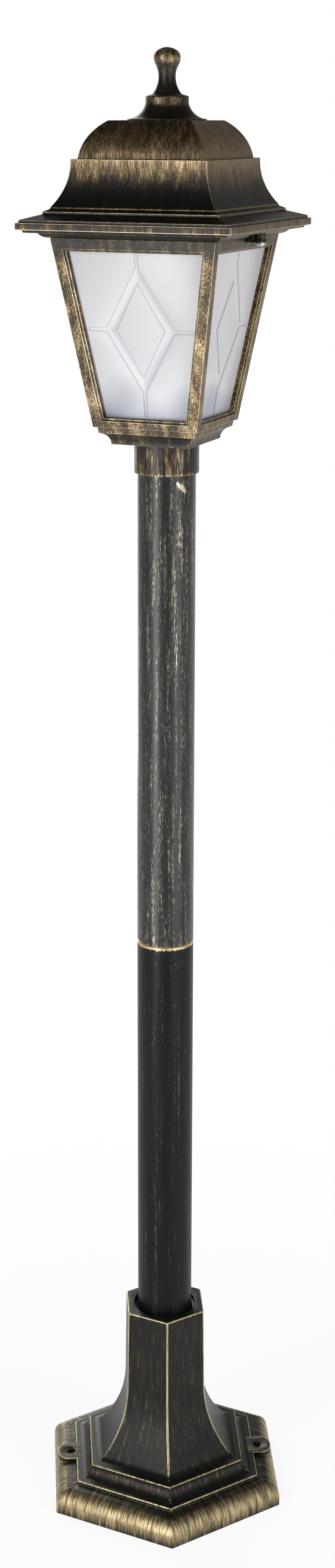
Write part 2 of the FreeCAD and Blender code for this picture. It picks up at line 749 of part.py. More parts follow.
def make_roof():
    """Square roof casting: ovolo bed, eave, cove and dome, hollow below, with two screw bosses."""
    body = sub_part("roof", lift=ROOF_BED)
    profile = [
        ("roof_bed_half", "0", "ovolo_round"),
        ("ovolo_half", "soffit_rise"),
        ("drip_half - step_rise / 2", "soffit_rise"),
        ("drip_half", "eave_low"),
        ("eave_half", "eave_low"),
        ("eave_half", "eave_high"),
        ("bead_half", "eave_high"),
        ("bead_half", "bead_high"),
        ("slope_half", "slope_high"),
        ("slope_half", "slope_high + step_rise"),
        ("cove_low_half", "cove_low - step_rise / 2"),
        ("cove_low_half", "cove_low", "-cove_round"),
        ("cove_high_half", "cove_high"),
        ("cove_high_half", "cove_high + ledge_rise"),
        ("dome_half", "cove_high + ledge_rise", "dome_round"),
        ("crown_half", "roof_rise"),
    ]
    moulded_stock(body, 4, "eave_half", "roof_rise", profile)
    hollow = [
        ("0", "roof_mouth_half"),
        ("cove_low", "roof_mouth_half"),
        ("cove_high", "cove_high_half - roof_wall"),
        ("roof_rise - roof_wall", "crown_half - roof_wall / 2"),
    ]
    sections = []
    for index, (height, half) in enumerate(hollow):
        section = sketch_on(body, "XY_Plane", f"hollow_{index}", lift=height)
        draw_polygon(section, 4, half, first="45")
        sections.append(section)
    lofted(body, "SubtractiveLoft", sections)
    boss = sketch_on(body, "XY_Plane", "boss")
    draw_circle(boss, "lug_width / 2", x="lug_reach")
    boss_pad = add_feature(body, "Pad", boss, "eave_low")
    pilot = hole_through(body, "pilot", "XY_Plane", SCREW_HOLE, "roof_pilot_depth",
                         x="lug_reach", reverse=True)
    around(body, [boss_pad, pilot], 2)
    hole_through(body, "finial_hole", "XY_Plane", "finial_screw_dia / 2 + fit_gap", "roof_wall * 2",
                 lift="roof_rise")


def make_roof_screws():
    """Two zinc-plated screws that point up through the frame's lugs into the roof."""
    body = sub_part("roof_screws", lift=f"{ROOF_BED} - lug_thickness", tilt="180")
    section = sketch_on(body, "XZ_Plane", "section")
    section.setExpression("AttachmentOffset.Base.x", bind("lug_reach"))
    draw(section, screw_section("screw_head_dia / 2", "screw_head_rise", "screw_dia / 2",
                                "lug_thickness + roof_pilot_depth - tap_spare / 2"))
    turned(body, "Revolution", section)
    cross_slot(body, "slot_depth", "screw_head_rise", x="lug_reach")
    around(body, [body.Tip], 2, whole=True)


def make_finial():
    """Turned finial: flared flange, cup and knob on a waisted neck, tapped from below."""
    body = sub_part("finial", lift=CROWN)
    knob_centre = "(finial_rise - knob_radius)"
    knob_low = f"({knob_centre} - sqrt(knob_radius^2 - knob_foot^2))"
    bore = "finial_screw_dia / 2 + fit_gap"
    section = sketch_on(body, "XZ_Plane", "section")
    draw(section, [
        (bore, "0"),
        ("finial_flange", "0"),
        ("finial_flange", "finial_edge", "-finial_flare"),
        ("cup_radius", "cup_low"),
        ("cup_radius", "cup_high", "cup_round"),
        ("cup_radius - cup_round", "cup_high + cup_round"),
        ("neck_spring", "cup_high + 2 * cup_round", "-neck_round"),
        ("finial_neck", "finial_neck_height", "-neck_round * 2"),
        ("knob_foot", knob_low, "knob_radius"),
        ("0", "finial_rise"),
        ("0", "finial_thread_depth + tap_spare"),
        (bore, "finial_thread_depth + tap_spare"),
    ])
    turned(body, "Revolution", section)


def make_finial_screw():
    """Screw inside the roof that draws the finial down."""
    inner = f"{CROWN} - roof_wall - washer_thickness"
    body = sub_part("finial_screw", lift=inner, tilt="180")
    section = sketch_on(body, "XZ_Plane", "section")
    draw(section, screw_section("finial_head_dia / 2", "finial_head_rise", "finial_screw_dia / 2",
                                "washer_thickness + roof_wall + finial_thread_depth"))
    turned(body, "Revolution", section)
    cross_slot(body, "slot_depth * 2", "finial_head_rise")


def make_washer():
    body = sub_part("finial_washer", lift=f"{CROWN} - roof_wall - washer_thickness")
    section = sketch_on(body, "XY_Plane", "section")
    draw_circle(section, "washer_dia / 2")
    draw_circle(section, "finial_screw_dia / 2 + fit_gap")
    add_feature(body, "Pad", section, "washer_thickness")


def make_nipple():
    """Hollow threaded stem that clamps collar and lantern together and carries the lampholder."""
    body = sub_part("nipple", lift=f"{POLE_TOP} - nipple_tail")
    section = sketch_on(body, "XY_Plane", "section")
    draw_circle(section, "nipple_dia / 2")
    draw_circle(section, "nipple_bore / 2")
    add_feature(body, "Pad", section, f"{HOLDER_FOOT} + nipple_hold - {POLE_TOP} + nipple_tail")


def make_nuts():
    """Two hexagon nuts on the nipple: one under the collar's web, one on the lantern's floor."""
    body = sub_part("nipple_nuts", lift=POLE_TOP)
    for name, lift in (("lower_nut", "-nut_thickness"), ("upper_nut", "collar_web + foot_plate")):
        section = sketch_on(body, "XY_Plane", name, lift=lift)
        draw_polygon(section, 6, "nut_flats / 2", first="30")
        draw_circle(section, "nipple_dia / 2 + fit_gap / 2")
        add_feature(body, "Pad", section, "nut_thickness")


def make_holder():
    """Ceramic lampholder body screwed on the nipple."""
    body = sub_part("lampholder_body", lift=HOLDER_FOOT)
    section = sketch_on(body, "XZ_Plane", "section")
    draw(section, [
        ("nipple_dia / 2 + fit_gap", "0"),
        ("holder_foot_radius", "0"),
        ("holder_foot_radius", "nipple_hold"),
        ("holder_radius", "holder_shoulder"),
        ("holder_radius", "holder_rise"),
        ("holder_cup_radius", "holder_rise"),
        ("holder_cup_radius", "holder_cup_floor"),
        ("nipple_bore / 2", "holder_cup_floor"),
        ("nipple_bore / 2", "nipple_hold"),
        ("nipple_dia / 2 + fit_gap", "nipple_hold"),
    ])
    turned(body, "Revolution", section)


def make_shell():
    """Brass screw shell inside the lampholder."""
    body = sub_part("lampholder_shell", lift=f"{HOLDER_FOOT} + holder_cup_floor")
    section = sketch_on(body, "XY_Plane", "section")
    draw_circle(section, "holder_cup_radius - shell_gap")
    draw_circle(section, "holder_cup_radius - shell_gap - shell_wall")
    add_feature(body, "Pad", section, "shell_rise")


def make_contact():
    """Sprung brass tongue under the bulb's tip."""
    body = sub_part("lampholder_contact", lift=f"{HOLDER_FOOT} + holder_cup_floor")
    strip = sketch_on(body, "XZ_Plane", "strip")
    draw(strip, [
        ("-contact_reach", "0"),
        ("-contact_reach / 3", "0"),
        ("contact_strip", "contact_rise - contact_strip"),
        ("contact_reach / 2", "contact_rise - contact_strip"),
        ("contact_reach / 2", "contact_rise"),
        ("0", "contact_rise"),
        ("-contact_reach / 3 - contact_strip", "contact_strip"),
        ("-contact_reach", "contact_strip"),
    ])
    add_feature(body, "Pad", strip, "contact_width", both_ways=True)


def make_bulb():
    """Sealed bulb with a screw cap, as one solid."""
    body = sub_part("bulb", lift=f"{HOLDER_FOOT} + holder_cup_floor + contact_rise")
    cap = "(holder_cup_radius - shell_gap - shell_wall - cap_gap)"
    globe = "(bulb_rise - globe_radius)"
    join = f"({globe} - sqrt(globe_radius^2 - bulb_neck^2) * bulb_shoulder)"
    shoulder = f"sqrt(globe_radius^2 - ({globe} - {join})^2)"
    section = sketch_on(body, "XZ_Plane", "section")
    draw(section, [
        ("0", "0"),
        ("cap_tip", "0"),
        (cap, "cap_tip"),
        (cap, "cap_rise"),
        ("bulb_neck", "cap_rise + cap_tip"),
        (shoulder, join, "globe_radius"),
        ("0", "bulb_rise"),
    ])
    turned(body, "Revolution", section)


def make_lead():
    """Round two-core lead from the lampholder down the pole to the base."""
    body = sub_part("inner_lead", lift=BLOCK_TOP)
    section = sketch_on(body, "XY_Plane", "section")
    draw_circle(section, "lead_dia / 2")
    add_feature(body, "Pad", section, f"{HOLDER_FOOT} + holder_cup_floor - {BLOCK_TOP} - lead_end_gap")


def make_block():
    """Three-way terminal block on the lead's lower end, inside the base."""
    body = sub_part("terminal_block", lift=f"{BLOCK_TOP} - block_rise")
    box = sketch_on(body, "XY_Plane", "box")
    draw_box(box, "-block_length / 2", "block_length / 2", "-block_width / 2", "block_width / 2")
    add_feature(body, "Pad", box, "block_rise")
    for index in (-1, 0, 1):
        place = f"{index} * block_pitch"
        hole_through(body, f"wire_hole_{index + 1}", "XY_Plane", "block_hole_dia / 2", "block_hole_depth",
                     x=place, reverse=True)


def main():
    make_base()
    make_grub_screw()
    make_grommet()
    make_lower_tube()
    make_upper_tube()
    make_sleeve()
    make_joint_screw()
    make_collar()
    make_collar_screw()
    make_frame()
    wide = "fit_gap"
    narrow = f"({PANE_DEPTH} + 2 * fit_gap)"
    for name, turn, side_gap in (("pane_front", "0", wide), ("pane_right", "90", narrow),
                                 ("pane_back", "180", wide), ("pane_left", "270", narrow)):
        make_pane(name, turn, side_gap)
    make_strips()
    make_roof()
    make_roof_screws()
    make_finial()
    make_finial_screw()
    make_washer()
    make_nipple()
    make_nuts()
    make_holder()
    make_shell()
    make_contact()
    make_bulb()
    make_lead()
    make_block()
    doc.recompute()
    for item in doc.Objects:
        if "Invalid" in item.State or "Error" in item.State:
            raise RuntimeError(f"{item.Label} did not build: {item.State}")
    for body in SUBPARTS:
        if body.Shape.isNull() or not body.Shape.isValid():
            raise RuntimeError(f"{body.Label} has no valid shape")
    os.makedirs("parts", exist_ok=True)
    for body in SUBPARTS:
        body.Shape.exportStep(f"parts/{body.Label}.step")
        print(f"{body.Label}: {len(body.Shape.Solids)} solid(s), {body.Shape.Volume / 1000:.2f} cm3")


main()
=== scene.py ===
# %% [markdown]
# # A garden lamp in black and antique gold
# The lamp is a square lantern with frosted panes, a moulded roof and a turned finial, on a pole of two tubes and
# a hexagonal cast base. Its solids come from CAD as a fixed frame: they have the right sizes and places, but
# knife-sharp edges and plain colours. This lesson rebuilds each casting with soft edges that catch the light, and
# then spends most of its effort on the finish, because black paint with gold brushed over it is what makes such a
# lamp.

import json
import math

import bmesh
import bpy
from mathutils import Matrix, Vector


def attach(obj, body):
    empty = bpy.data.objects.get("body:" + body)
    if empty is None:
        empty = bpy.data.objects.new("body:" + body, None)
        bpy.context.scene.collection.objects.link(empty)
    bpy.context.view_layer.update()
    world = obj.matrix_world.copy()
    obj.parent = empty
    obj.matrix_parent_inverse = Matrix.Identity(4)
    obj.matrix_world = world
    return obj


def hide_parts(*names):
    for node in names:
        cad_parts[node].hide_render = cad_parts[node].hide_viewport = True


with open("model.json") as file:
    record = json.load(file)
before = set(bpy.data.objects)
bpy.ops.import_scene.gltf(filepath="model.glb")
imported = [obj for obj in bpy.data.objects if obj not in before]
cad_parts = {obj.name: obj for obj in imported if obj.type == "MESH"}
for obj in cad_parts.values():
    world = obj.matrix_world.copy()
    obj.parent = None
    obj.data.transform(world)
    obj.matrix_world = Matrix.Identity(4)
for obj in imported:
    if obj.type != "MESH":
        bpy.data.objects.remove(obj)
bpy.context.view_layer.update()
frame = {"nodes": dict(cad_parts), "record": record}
SLOT_OF = {part["node"]: part["material_slot"] for part in frame["record"]["subparts"]}
MM = 0.001

# %% [markdown]
# ## Two helpers for materials
# Colours are picked as sRGB hex codes, the way an eye dropper gives them, but shaders work on linear light, so one
# function converts them. A material is a tree of nodes. Wiring every node by hand is long, so a second function
# adds any node: lower-case keys set its properties, numbers and capitalised names set its sockets, `stops` fills
# a colour ramp, and the links come last.

# %% Colours and nodes


def linear(code):
    """An sRGB hex colour as linear red, green, blue and alpha."""
    parts = [int(code[place:place + 2], 16) / 255 for place in (1, 3, 5)]
    return *(part / 12.92 if part <= 0.04045 else ((part + 0.055) / 1.055) ** 2.4 for part in parts), 1.0


def add(tree, kind, settings=None, links=None):
    """Adds a node with its settings and links, and returns its outputs."""
    node = tree.nodes.new("ShaderNode" + kind)
    for key, value in (settings or {}).items():
        if key == "stops":
            ramp = node.color_ramp
            while len(ramp.elements) < len(value):
                ramp.elements.new(1.0)
            for element, (place, colour) in zip(ramp.elements, value):
                element.position = place
                element.color = colour
        elif isinstance(key, str) and key[0].islower():
            setattr(node, key, value)
        else:
            node.inputs[key].default_value = value
    for key, socket in (links or {}).items():
        tree.links.new(socket, node.inputs[key])
    return node.outputs


def new_material(name):
    """An empty material, its node tree and its output's surface socket."""
    material = bpy.data.materials.new(name)
    material.use_nodes = True
    tree = material.node_tree
    tree.nodes.clear()
    surface = tree.nodes.new("ShaderNodeOutputMaterial").inputs["Surface"]
    return material, tree, surface


print("black paint in linear light:", [round(part, 4) for part in linear("#0f100e")])

# %% [markdown]
# ## Strokes that follow a casting
# The castings are aluminium, sprayed black and then dry-brushed: a nearly dry brush of gold paint is dragged down
# each face. One could paint that as an image, but a procedure follows the shape at any resolution. All of it reads
# Object coordinates, which are real metres here. On a square or hexagonal casting the strokes have to follow its
# sides, so the place is first turned into three others: how far across the side, which side it is, and how far up
# the moulding. A level ledge counts as length too, so that a stroke goes on over it.

# %% Up the sides


def up_the_sides(tree, place, reach, sides, turn):
    """A place on a casting of flat sides: across the side, which side it is, and up the moulding."""
    fold = 2 * math.pi / sides
    x, y, z = add(tree, "SeparateXYZ", {}, {0: place})
    angle = add(tree, "Math", {"operation": "ARCTAN2"}, {0: y, 1: x})[0]
    angle = add(tree, "Math", {"operation": "SUBTRACT", 1: turn}, {0: angle})[0]
    side = add(tree, "Math", {"operation": "DIVIDE", 1: fold}, {0: angle})[0]
    side = add(tree, "Math", {"operation": "ROUND"}, {0: side})[0]
    middle = add(tree, "Math", {"operation": "MULTIPLY", 1: fold}, {0: side})[0]
    off = add(tree, "Math", {"operation": "SUBTRACT"}, {0: angle, 1: middle})[0]
    sine = add(tree, "Math", {"operation": "SINE"}, {0: off})[0]
    cosine = add(tree, "Math", {"operation": "COSINE"}, {0: off})[0]
    across = add(tree, "Math", {"operation": "MULTIPLY"}, {0: reach, 1: sine})[0]
    out = add(tree, "Math", {"operation": "MULTIPLY"}, {0: reach, 1: cosine})[0]
    rise = add(tree, "Math", {"operation": "SUBTRACT"}, {0: z, 1: out})[0]
    return add(tree, "CombineXYZ", {}, {0: across, 1: side, 2: rise})[0]


print("a square casting's sides span", 360 // 4, "degrees each, a hexagonal one's", 360 // 6)

# %% [markdown]
# ## How much gold a place gets
# Gold stays on edges and high curves and misses the hollows. Edge wear could be found by a pointiness node, but that
# depends on how a mesh is cut and doesn't say which moulding the brush went over. So the amount comes from the
# height, through a list of bands that says how heavily each moulding was brushed, and from an attribute that marks
# the rounded outer edges.

# %% Share of gold
EDGE = "worn_edge"


def gold_share(tree, z, bands):
    """The share for the faces at this height, with more on marked edges. A colour ramp holds both lists."""
    low, high = bands[0][0], bands[-1][0]
    height = add(tree, "MapRange", {1: low * MM, 2: high * MM}, {0: z})[0]
    stops = [((level - low) / (high - low), (face, edge, 0.0, 1.0)) for level, face, edge in bands]
    shares = add(tree, "SeparateColor", {}, {0: add(tree, "ValToRGB", {"stops": stops}, {0: height})[0]})
    edge = add(tree, "Attribute", {"attribute_name": EDGE})["Fac"]
    return add(tree, "Math", {"operation": "MULTIPLY_ADD"}, {0: edge, 1: shares["Green"], 2: shares["Red"]})[0]


print("outer edges are marked in the attribute", EDGE)

# %% [markdown]
# ## The antique finish
# The mask of the gold is one sum: a grain of bristle marks, worn patches and specks, plus the share of gold. The same
# sum shows twice: where it only just passes, the gold is thin and brown, and where it passes by much, it is full.
# The gold isn't the same all over. It is cream on the roof and the lantern, paler on the upper tube, richer on the
# ring of the joint and warm on the base, so there are four lists of shades from thin to full. Gold paint holds metal
# flakes, so it is part metallic, and the black under it is a satin lacquer with a weak reflection.

# %% Golds and grain
CREAM_GOLD = ((0.0, "#3a2a15"), (0.3, "#735933"), (0.65, "#a69779"), (1.0, "#d0c8b1"))
PALE_GOLD = ((0.0, "#292724"), (0.3, "#5d564b"), (0.65, "#a09886"), (1.0, "#d2cbb8"))
RING_GOLD = ((0.0, "#2a2926"), (0.3, "#554f43"), (0.65, "#877860"), (1.0, "#e2c797"))
WARM_GOLD = ((0.0, "#24221b"), (0.3, "#4f4836"), (0.65, "#9e8a64"), (1.0, "#cdbe98"))
SPECK = 0.3  # in mm: the paint's own grain is about 0.1 mm, too fine to show, so it is drawn coarser
SIDE_STEP = 7.0  # the pattern moves on by this much from side to side, so that no two look alike


def marks(tree, along, size, step):
    """A noise stretched to marks of this width and length in mm. It is about a half on average."""
    width, length = (1 / (side * MM) for side in size)
    along = add(tree, "Mapping", {"Scale": (width, step or width, length)}, {"Vector": along})[0]
    return add(tree, "TexNoise", {"Scale": 1.0, "Detail": 3.0, "Roughness": 0.6}, {"Vector": along})[0]


print("full golds:", [golds[-1][1] for golds in (CREAM_GOLD, PALE_GOLD, RING_GOLD, WARM_GOLD)])

# %% Gold brushed over black
GOLD_STARTS, GOLD_FULL = 0.88, 1.55  # the sum of grain and share
COVERED = 0.28  # the gold hides the black from here on
FLAKES = 0.7  # how metallic full gold is
# The +X side's gold is spread and thinned: partly its brushing, partly painted shade and sheen
CORNER, SIDE_SPREAD_AND_SHADE = (0.69, 0.73), 0.6  # the cosine of 45 degrees lies between: past it is the +X side
DAB_EDGE, DAB_GOLD = (1.1, 0.6), 0.62  # a dab fades out round its half size


def antique_finish(name, paint, bands, stroke, patch, weights, golds=CREAM_GOLD, sides=0, turn=0.0, thin=0.0,
                   shine=0.3, gloss=0.33, span=0.14, dab=None):
    """Painted, dry-brushed cast aluminium.

    paint: the two shades that the black drifts between. bands: (height in mm, share of gold on the faces, how much
    more on the edges) up the piece. stroke and patch: width and length in mm of a bristle mark and of a worn
    patch. weights: how much of the grain bristle marks, patches and specks make. golds: the gold's shades from
    thin to full. sides and turn: how many flat sides the casting has, and how far they are turned. thin: how far
    the gold on the +X side spreads further, thinner and browner: partly its brushing, partly painted shade and
    sheen for how the light falls on that side. shine and gloss: how strongly the lacquer reflects, and its
    roughness. span: how far the grain swings, less for crisper marks. dab: place, turn and half size of a spot of
    full gold.
    """
    material, tree, surface = new_material(name)
    place = add(tree, "TexCoord")["Object"]
    x, _, z = add(tree, "SeparateXYZ", {}, {0: place})
    along, step = place, None
    if sides:
        flat = add(tree, "VectorMath", {"operation": "MULTIPLY", 1: (1, 1, 0)}, {0: place})[0]
        reach = add(tree, "VectorMath", {"operation": "LENGTH"}, {0: flat})["Value"]
        along, step = up_the_sides(tree, place, reach, sides, turn), SIDE_STEP
    bristle, worn = marks(tree, along, stroke, step), marks(tree, along, patch, step)
    speck = add(tree, "TexNoise", {"Scale": 1 / (SPECK * MM), "Detail": 1.0}, {"Vector": place})[0]
    grain = add(tree, "Math", {"operation": "MULTIPLY", 1: weights[0]}, {0: bristle})[0]
    grain = add(tree, "Math", {"operation": "MULTIPLY_ADD", 1: weights[1]}, {0: worn, 2: grain})[0]
    grain = add(tree, "Math", {"operation": "MULTIPLY_ADD", 1: weights[2]}, {0: speck, 2: grain})[0]
    grain = add(tree, "MapRange", {"clamp": False, 1: 0.5 - span, 2: 0.5 + span}, {0: grain})[0]
    share = gold_share(tree, z, bands)
    if dab:
        where = {"vector_type": "TEXTURE", "Location": dab[0], "Rotation": dab[1], "Scale": dab[2]}
        spot = add(tree, "Mapping", where, {"Vector": place})[0]
        spot = add(tree, "VectorMath", {"operation": "LENGTH"}, {0: spot})["Value"]
        spot = add(tree, "MapRange", {1: DAB_EDGE[0], 2: DAB_EDGE[1], 4: DAB_GOLD}, {0: spot})[0]
        share = add(tree, "Math", {"operation": "ADD"}, {0: share, 1: spot})[0]
    # Painted shade and sheen, with thinner brushing: the +X side's gold spreads further and thins
    if thin:
        right = add(tree, "Math", {"operation": "DIVIDE"}, {0: x, 1: reach})[0]
        side_shade_and_spread = add(tree, "MapRange", {1: CORNER[0], 2: CORNER[1], 4: SIDE_SPREAD_AND_SHADE * thin}, {0: right})[0]
        share = add(tree, "Math", {"operation": "ADD"}, {0: share, 1: side_shade_and_spread})[0]
    gold = add(tree, "Math", {"operation": "ADD"}, {0: grain, 1: share})[0]
    gold = add(tree, "MapRange", {1: GOLD_STARTS, 2: GOLD_FULL}, {0: gold})[0]
    if thin:
        side_shade_and_thinning = add(tree, "MapRange", {1: CORNER[0], 2: CORNER[1], 3: 1.0, 4: 1.0 - thin}, {0: right})[0]
        gold = add(tree, "Math", {"operation": "MULTIPLY"}, {0: gold, 1: side_shade_and_thinning})[0]
    # Colour, metal, gloss and relief
    body = add(tree, "ValToRGB", {"stops": [(0.3, linear(paint[0])), (0.7, linear(paint[1]))]}, {0: worn})[0]
    leaf = add(tree, "ValToRGB", {"stops": [(level, linear(code)) for level, code in golds]}, {0: gold})[0]
    cover = add(tree, "MapRange", {1: 0.0, 2: COVERED}, {0: gold})[0]
    colour = add(tree, "Mix", {"data_type": "RGBA"}, {0: cover, 6: body, 7: leaf})[2]
    metal = add(tree, "Math", {"operation": "MULTIPLY", 1: FLAKES}, {0: cover})[0]
    satin = add(tree, "MapRange", {3: gloss, 4: gloss + 0.12}, {0: speck})[0]
    relief = add(tree, "Math", {"operation": "MULTIPLY_ADD", 1: 0.5}, {0: cover, 2: speck})[0]
    bump = add(tree, "Bump", {"Strength": 0.25, "Distance": 0.1 * MM}, {"Height": relief})[0]
    links = {"Base Color": colour, "Metallic": metal, "Roughness": satin, "Normal": bump}
    shader = add(tree, "BsdfPrincipled", {"Specular IOR Level": shine}, links)
    tree.links.new(shader[0], surface)
    print("finish", name, "with", len(tree.nodes), "nodes")
    return material


# %% [markdown]
# ## Mitred mouldings
# The roof, the lantern's foot and the base are all one moulding mitred round a square or a hexagon. It could be swept
# along the polygon and cut at the corners, but the quickest true mitre is to extrude a ring of edges again and again,
# and to scale each new ring to the moulding's next half width: the corners then line up by themselves. A moulding
# is a list of points in millimetres, and a third number is the radius of the arc that leads on from that point,
# with a minus where it turns right.

# %% Outlines and rings


def outline(points, steps=10):
    """The moulding's points in mm with each arc cut into short straight steps."""
    path = []
    for index, point in enumerate(points):
        start = Vector(point[:2])
        path.append(start)
        if len(point) == 3:
            end = Vector(points[(index + 1) % len(points)][:2])
            chord = end - start
            side = Vector((-chord.y, chord.x)).normalized()
            rise = math.sqrt(max(point[2] ** 2 - (chord.length / 2) ** 2, 0))
            centre = (start + end) / 2 + side * math.copysign(rise, point[2])
            sweep = (start - centre).angle_signed(end - centre)
            for step in range(1, steps):
                path.append(centre + Matrix.Rotation(-sweep * step / steps, 2) @ (start - centre))
    return path


def circle(bm, segments, radius, middle):
    """A level ring of edges with its radius and middle in mm."""
    verts = bmesh.ops.create_circle(bm, segments=segments, radius=radius * MM)["verts"]
    bmesh.ops.translate(bm, verts=verts, vec=Vector(middle) * MM)
    return list(dict.fromkeys(edge for vert in verts for edge in vert.link_edges))


def drawn_on(bm, ring, scale=1.0, rise=0.0, middle=Vector()):
    """Extrudes a ring of edges, scales the new one about an upright line and lifts it by mm. Returns it."""
    grown = bmesh.ops.extrude_edge_only(bm, edges=ring)["geom"]
    verts = [item for item in grown if isinstance(item, bmesh.types.BMVert)]
    bmesh.ops.scale(bm, verts=verts, vec=(scale, scale, 1), space=Matrix.Translation(-middle * MM))
    bmesh.ops.translate(bm, verts=verts, vec=(0, 0, rise * MM))
    return [item for item in grown if isinstance(item, bmesh.types.BMEdge)]


def mitred(bm, sides, path):
    """Extrudes a regular polygon along a moulding. Returns the first and the last ring of edges."""
    start = path[0]
    ring = first = circle(bm, sides, start.x / math.cos(math.pi / sides), (0, 0, start.y))
    first_flat = math.radians(-(90 + 180 / sides) % (360 / sides))
    bmesh.ops.rotate(bm, verts=bm.verts, matrix=Matrix.Rotation(first_flat, 3, "Z"))
    for before, after in zip(path, path[1:]):
        ring = drawn_on(bm, ring, after.x / before.x, after.y - before.y)
    return first, ring


print("points that one arc becomes:", len(outline([(0.0, 0.0, 1.0), (1.0, 1.0)])))

# %% [markdown]
# ## Soft edges
# A casting has no knife edges: a small rounding on each sharp edge is what shows as a thin bright line. A Bevel
# modifier would do it, but the operator also hands back the new faces, so that those of the outward edges can be
# marked for the brush, as the mesh's own attribute. Then the mesh becomes a piece, which rides on the lamp and
# stands for its CAD solid. Weighted normals keep the wide faces flat between the soft edges.

# %% Rounding and dressing
SHARP = math.radians(18)


def soften(bm, width, edges=None):
    """Rounds all edges, or those given, that turn by more than SHARP, and marks the outward ones."""
    bmesh.ops.recalc_face_normals(bm, faces=bm.faces)
    mark = bm.faces.layers.float.new(EDGE)
    sharp = [edge for edge in edges or bm.edges if edge.is_manifold and edge.calc_face_angle() > SHARP]
    rounded = bmesh.ops.bevel(bm, geom=sharp, offset=width * MM, offset_type="OFFSET", segments=2, profile=0.5,
                              affect="EDGES", material=-1, clamp_overlap=True)["faces"]
    bm.normal_update()
    for face in rounded:
        face[mark] = float(sum(edge.calc_face_angle_signed(0.0) for edge in face.edges) > 0)


def dress(name, bm, node, material):
    """Makes the mesh a piece that stands for a CAD node."""
    bmesh.ops.recalc_face_normals(bm, faces=bm.faces)
    mesh = bpy.data.meshes.new(name)
    bm.to_mesh(mesh)
    bm.free()
    mesh.shade_smooth()
    mesh.materials.append(material)
    piece = bpy.data.objects.new(name, mesh)
    bpy.context.scene.collection.objects.link(piece)
    piece.modifiers.new("even_normals", "WEIGHTED_NORMAL").keep_sharp = True
    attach(piece, "root")
    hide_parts(node)
    print(name, "faces:", len(mesh.polygons), "size mm:", [round(side / MM, 1) for side in piece.dimensions])


print("edges are rounded from", round(math.degrees(SHARP)), "degrees on")

# %% [markdown]
# ## Roof
# The roof is one casting: an ovolo bed on the lantern, a flat eave with a bead, a slope, two small steps, a tall
# cove, a ledge and a domed top. It is hollow below for the bulb. One could stack boxes and curved blocks, but one
# moulding leaves no seams: it starts at the ceiling inside, goes down and out under the eave, and climbs to the
# crown, so that a cap on the first and on the last ring closes it. A boss under the eave takes each of the two
# lantern screws. The brush ran down each face: heavy on the ledge and the top of the cove, nothing in the hollow of
# the cove.

# %% Roof casting
BED = 885.0
ROOF_PATH = [
    (24.45, 62.8), (38.9, 44.5), (44.0, 17.9), (44.0, 0.0), (54.3, 0.0, 7.0), (60.0, 3.3), (66.25, 3.3), (67.0, 5.0),
    (69.9, 5.0), (69.9, 9.3), (68.2, 9.3), (68.2, 10.9), (57.3, 14.1), (57.3, 15.6), (53.8, 17.15),
    (53.8, 17.9, -42.5), (44.4, 44.5), (44.4, 46.0), (41.2, 46.0, 31.0), (27.2, 68.3),
]
ROOF_BANDS = [
    (885.0, 0.14, 0.1), (888.3, 0.14, 0.3), (889.8, 0.28, 0.7), (890.6, 0.38, 0.75), (893.6, 0.3, 0.7),
    (894.4, 0.15, 0.75), (896.0, 0.14, 0.5), (896.6, 0.15, 0.3), (899.0, 0.13, 0.5), (900.5, 0.22, 0.6),
    (900.9, 0.1, 0.3), (902.9, 0.08, 0.45), (910.0, 0.04, 0.55), (914.0, 0.14, 0.6), (919.0, 0.34, 0.6),
    (924.0, 0.46, 0.55), (929.0, 0.54, 0.6), (930.6, 0.6, 0.9), (931.2, 0.48, 0.1), (934.0, 0.52, 0.15),
    (939.0, 0.47, 0.15), (946.0, 0.44, 0.15), (953.3, 0.42, 0.15),
]
BOSS_RADIUS, BOSS_HEIGHT, SCREW_REACH = 3.7, 4.0, 62.0
# thin gives the roof's +X side painted shade and sheen as well as thinner brushing
roof_finish = antique_finish("dry_brushed_aluminium_roof", ("#090b0a", "#10120e"), ROOF_BANDS, (0.22, 8.0),
                             (5.0, 26.0), weights=(0.5, 0.2, 0.3), sides=4, thin=0.44, shine=0.24)
bm = bmesh.new()
inner, crown = mitred(bm, 4, outline(ROOF_PATH))
bmesh.ops.edgeloop_fill(bm, edges=inner)
bmesh.ops.edgeloop_fill(bm, edges=crown)
for side in (1, -1):
    boss = bmesh.ops.create_cone(bm, cap_ends=True, segments=24, radius1=BOSS_RADIUS * MM, radius2=BOSS_RADIUS * MM,
                                 depth=BOSS_HEIGHT * MM)["verts"]
    bmesh.ops.translate(bm, verts=boss, vec=(side * SCREW_REACH * MM, 0, BOSS_HEIGHT / 2 * MM))
bmesh.ops.translate(bm, verts=bm.verts, vec=(0, 0, BED * MM))
soften(bm, 0.45)
dress("roof_casting", bm, "roof", roof_finish)

# %% [markdown]
# ## Finial
# The finial is turned: a thin flange on the crown, a hollow flare, a cup with a rolled rim, a waisted neck and a
# knob. A Screw modifier could turn it, but a spin of its half section gives a plain mesh that the same soft edges
# work on. The brush only touched the cup's rim and the top of the knob.

# %% Finial


def wire(bm, places, closed=True):
    """A line of edges through places in mm. Returns its vertices and its edges."""
    verts = [bm.verts.new(Vector(place) * MM) for place in places]
    pairs = zip(verts, verts[1:] + verts[:1] if closed else verts[1:])
    return verts, [bm.edges.new(pair) for pair in pairs]


def turned(bm, path, closed=False, steps=72):
    """Spins a moulding about the lamp's axis."""
    verts, edges = wire(bm, [(point.x, 0, point.y) for point in path], closed)
    bmesh.ops.spin(bm, geom=verts + edges, axis=(0, 0, 1), angle=2 * math.pi, steps=steps, use_merge=True)
    bmesh.ops.remove_doubles(bm, verts=bm.verts, dist=0.001 * MM)


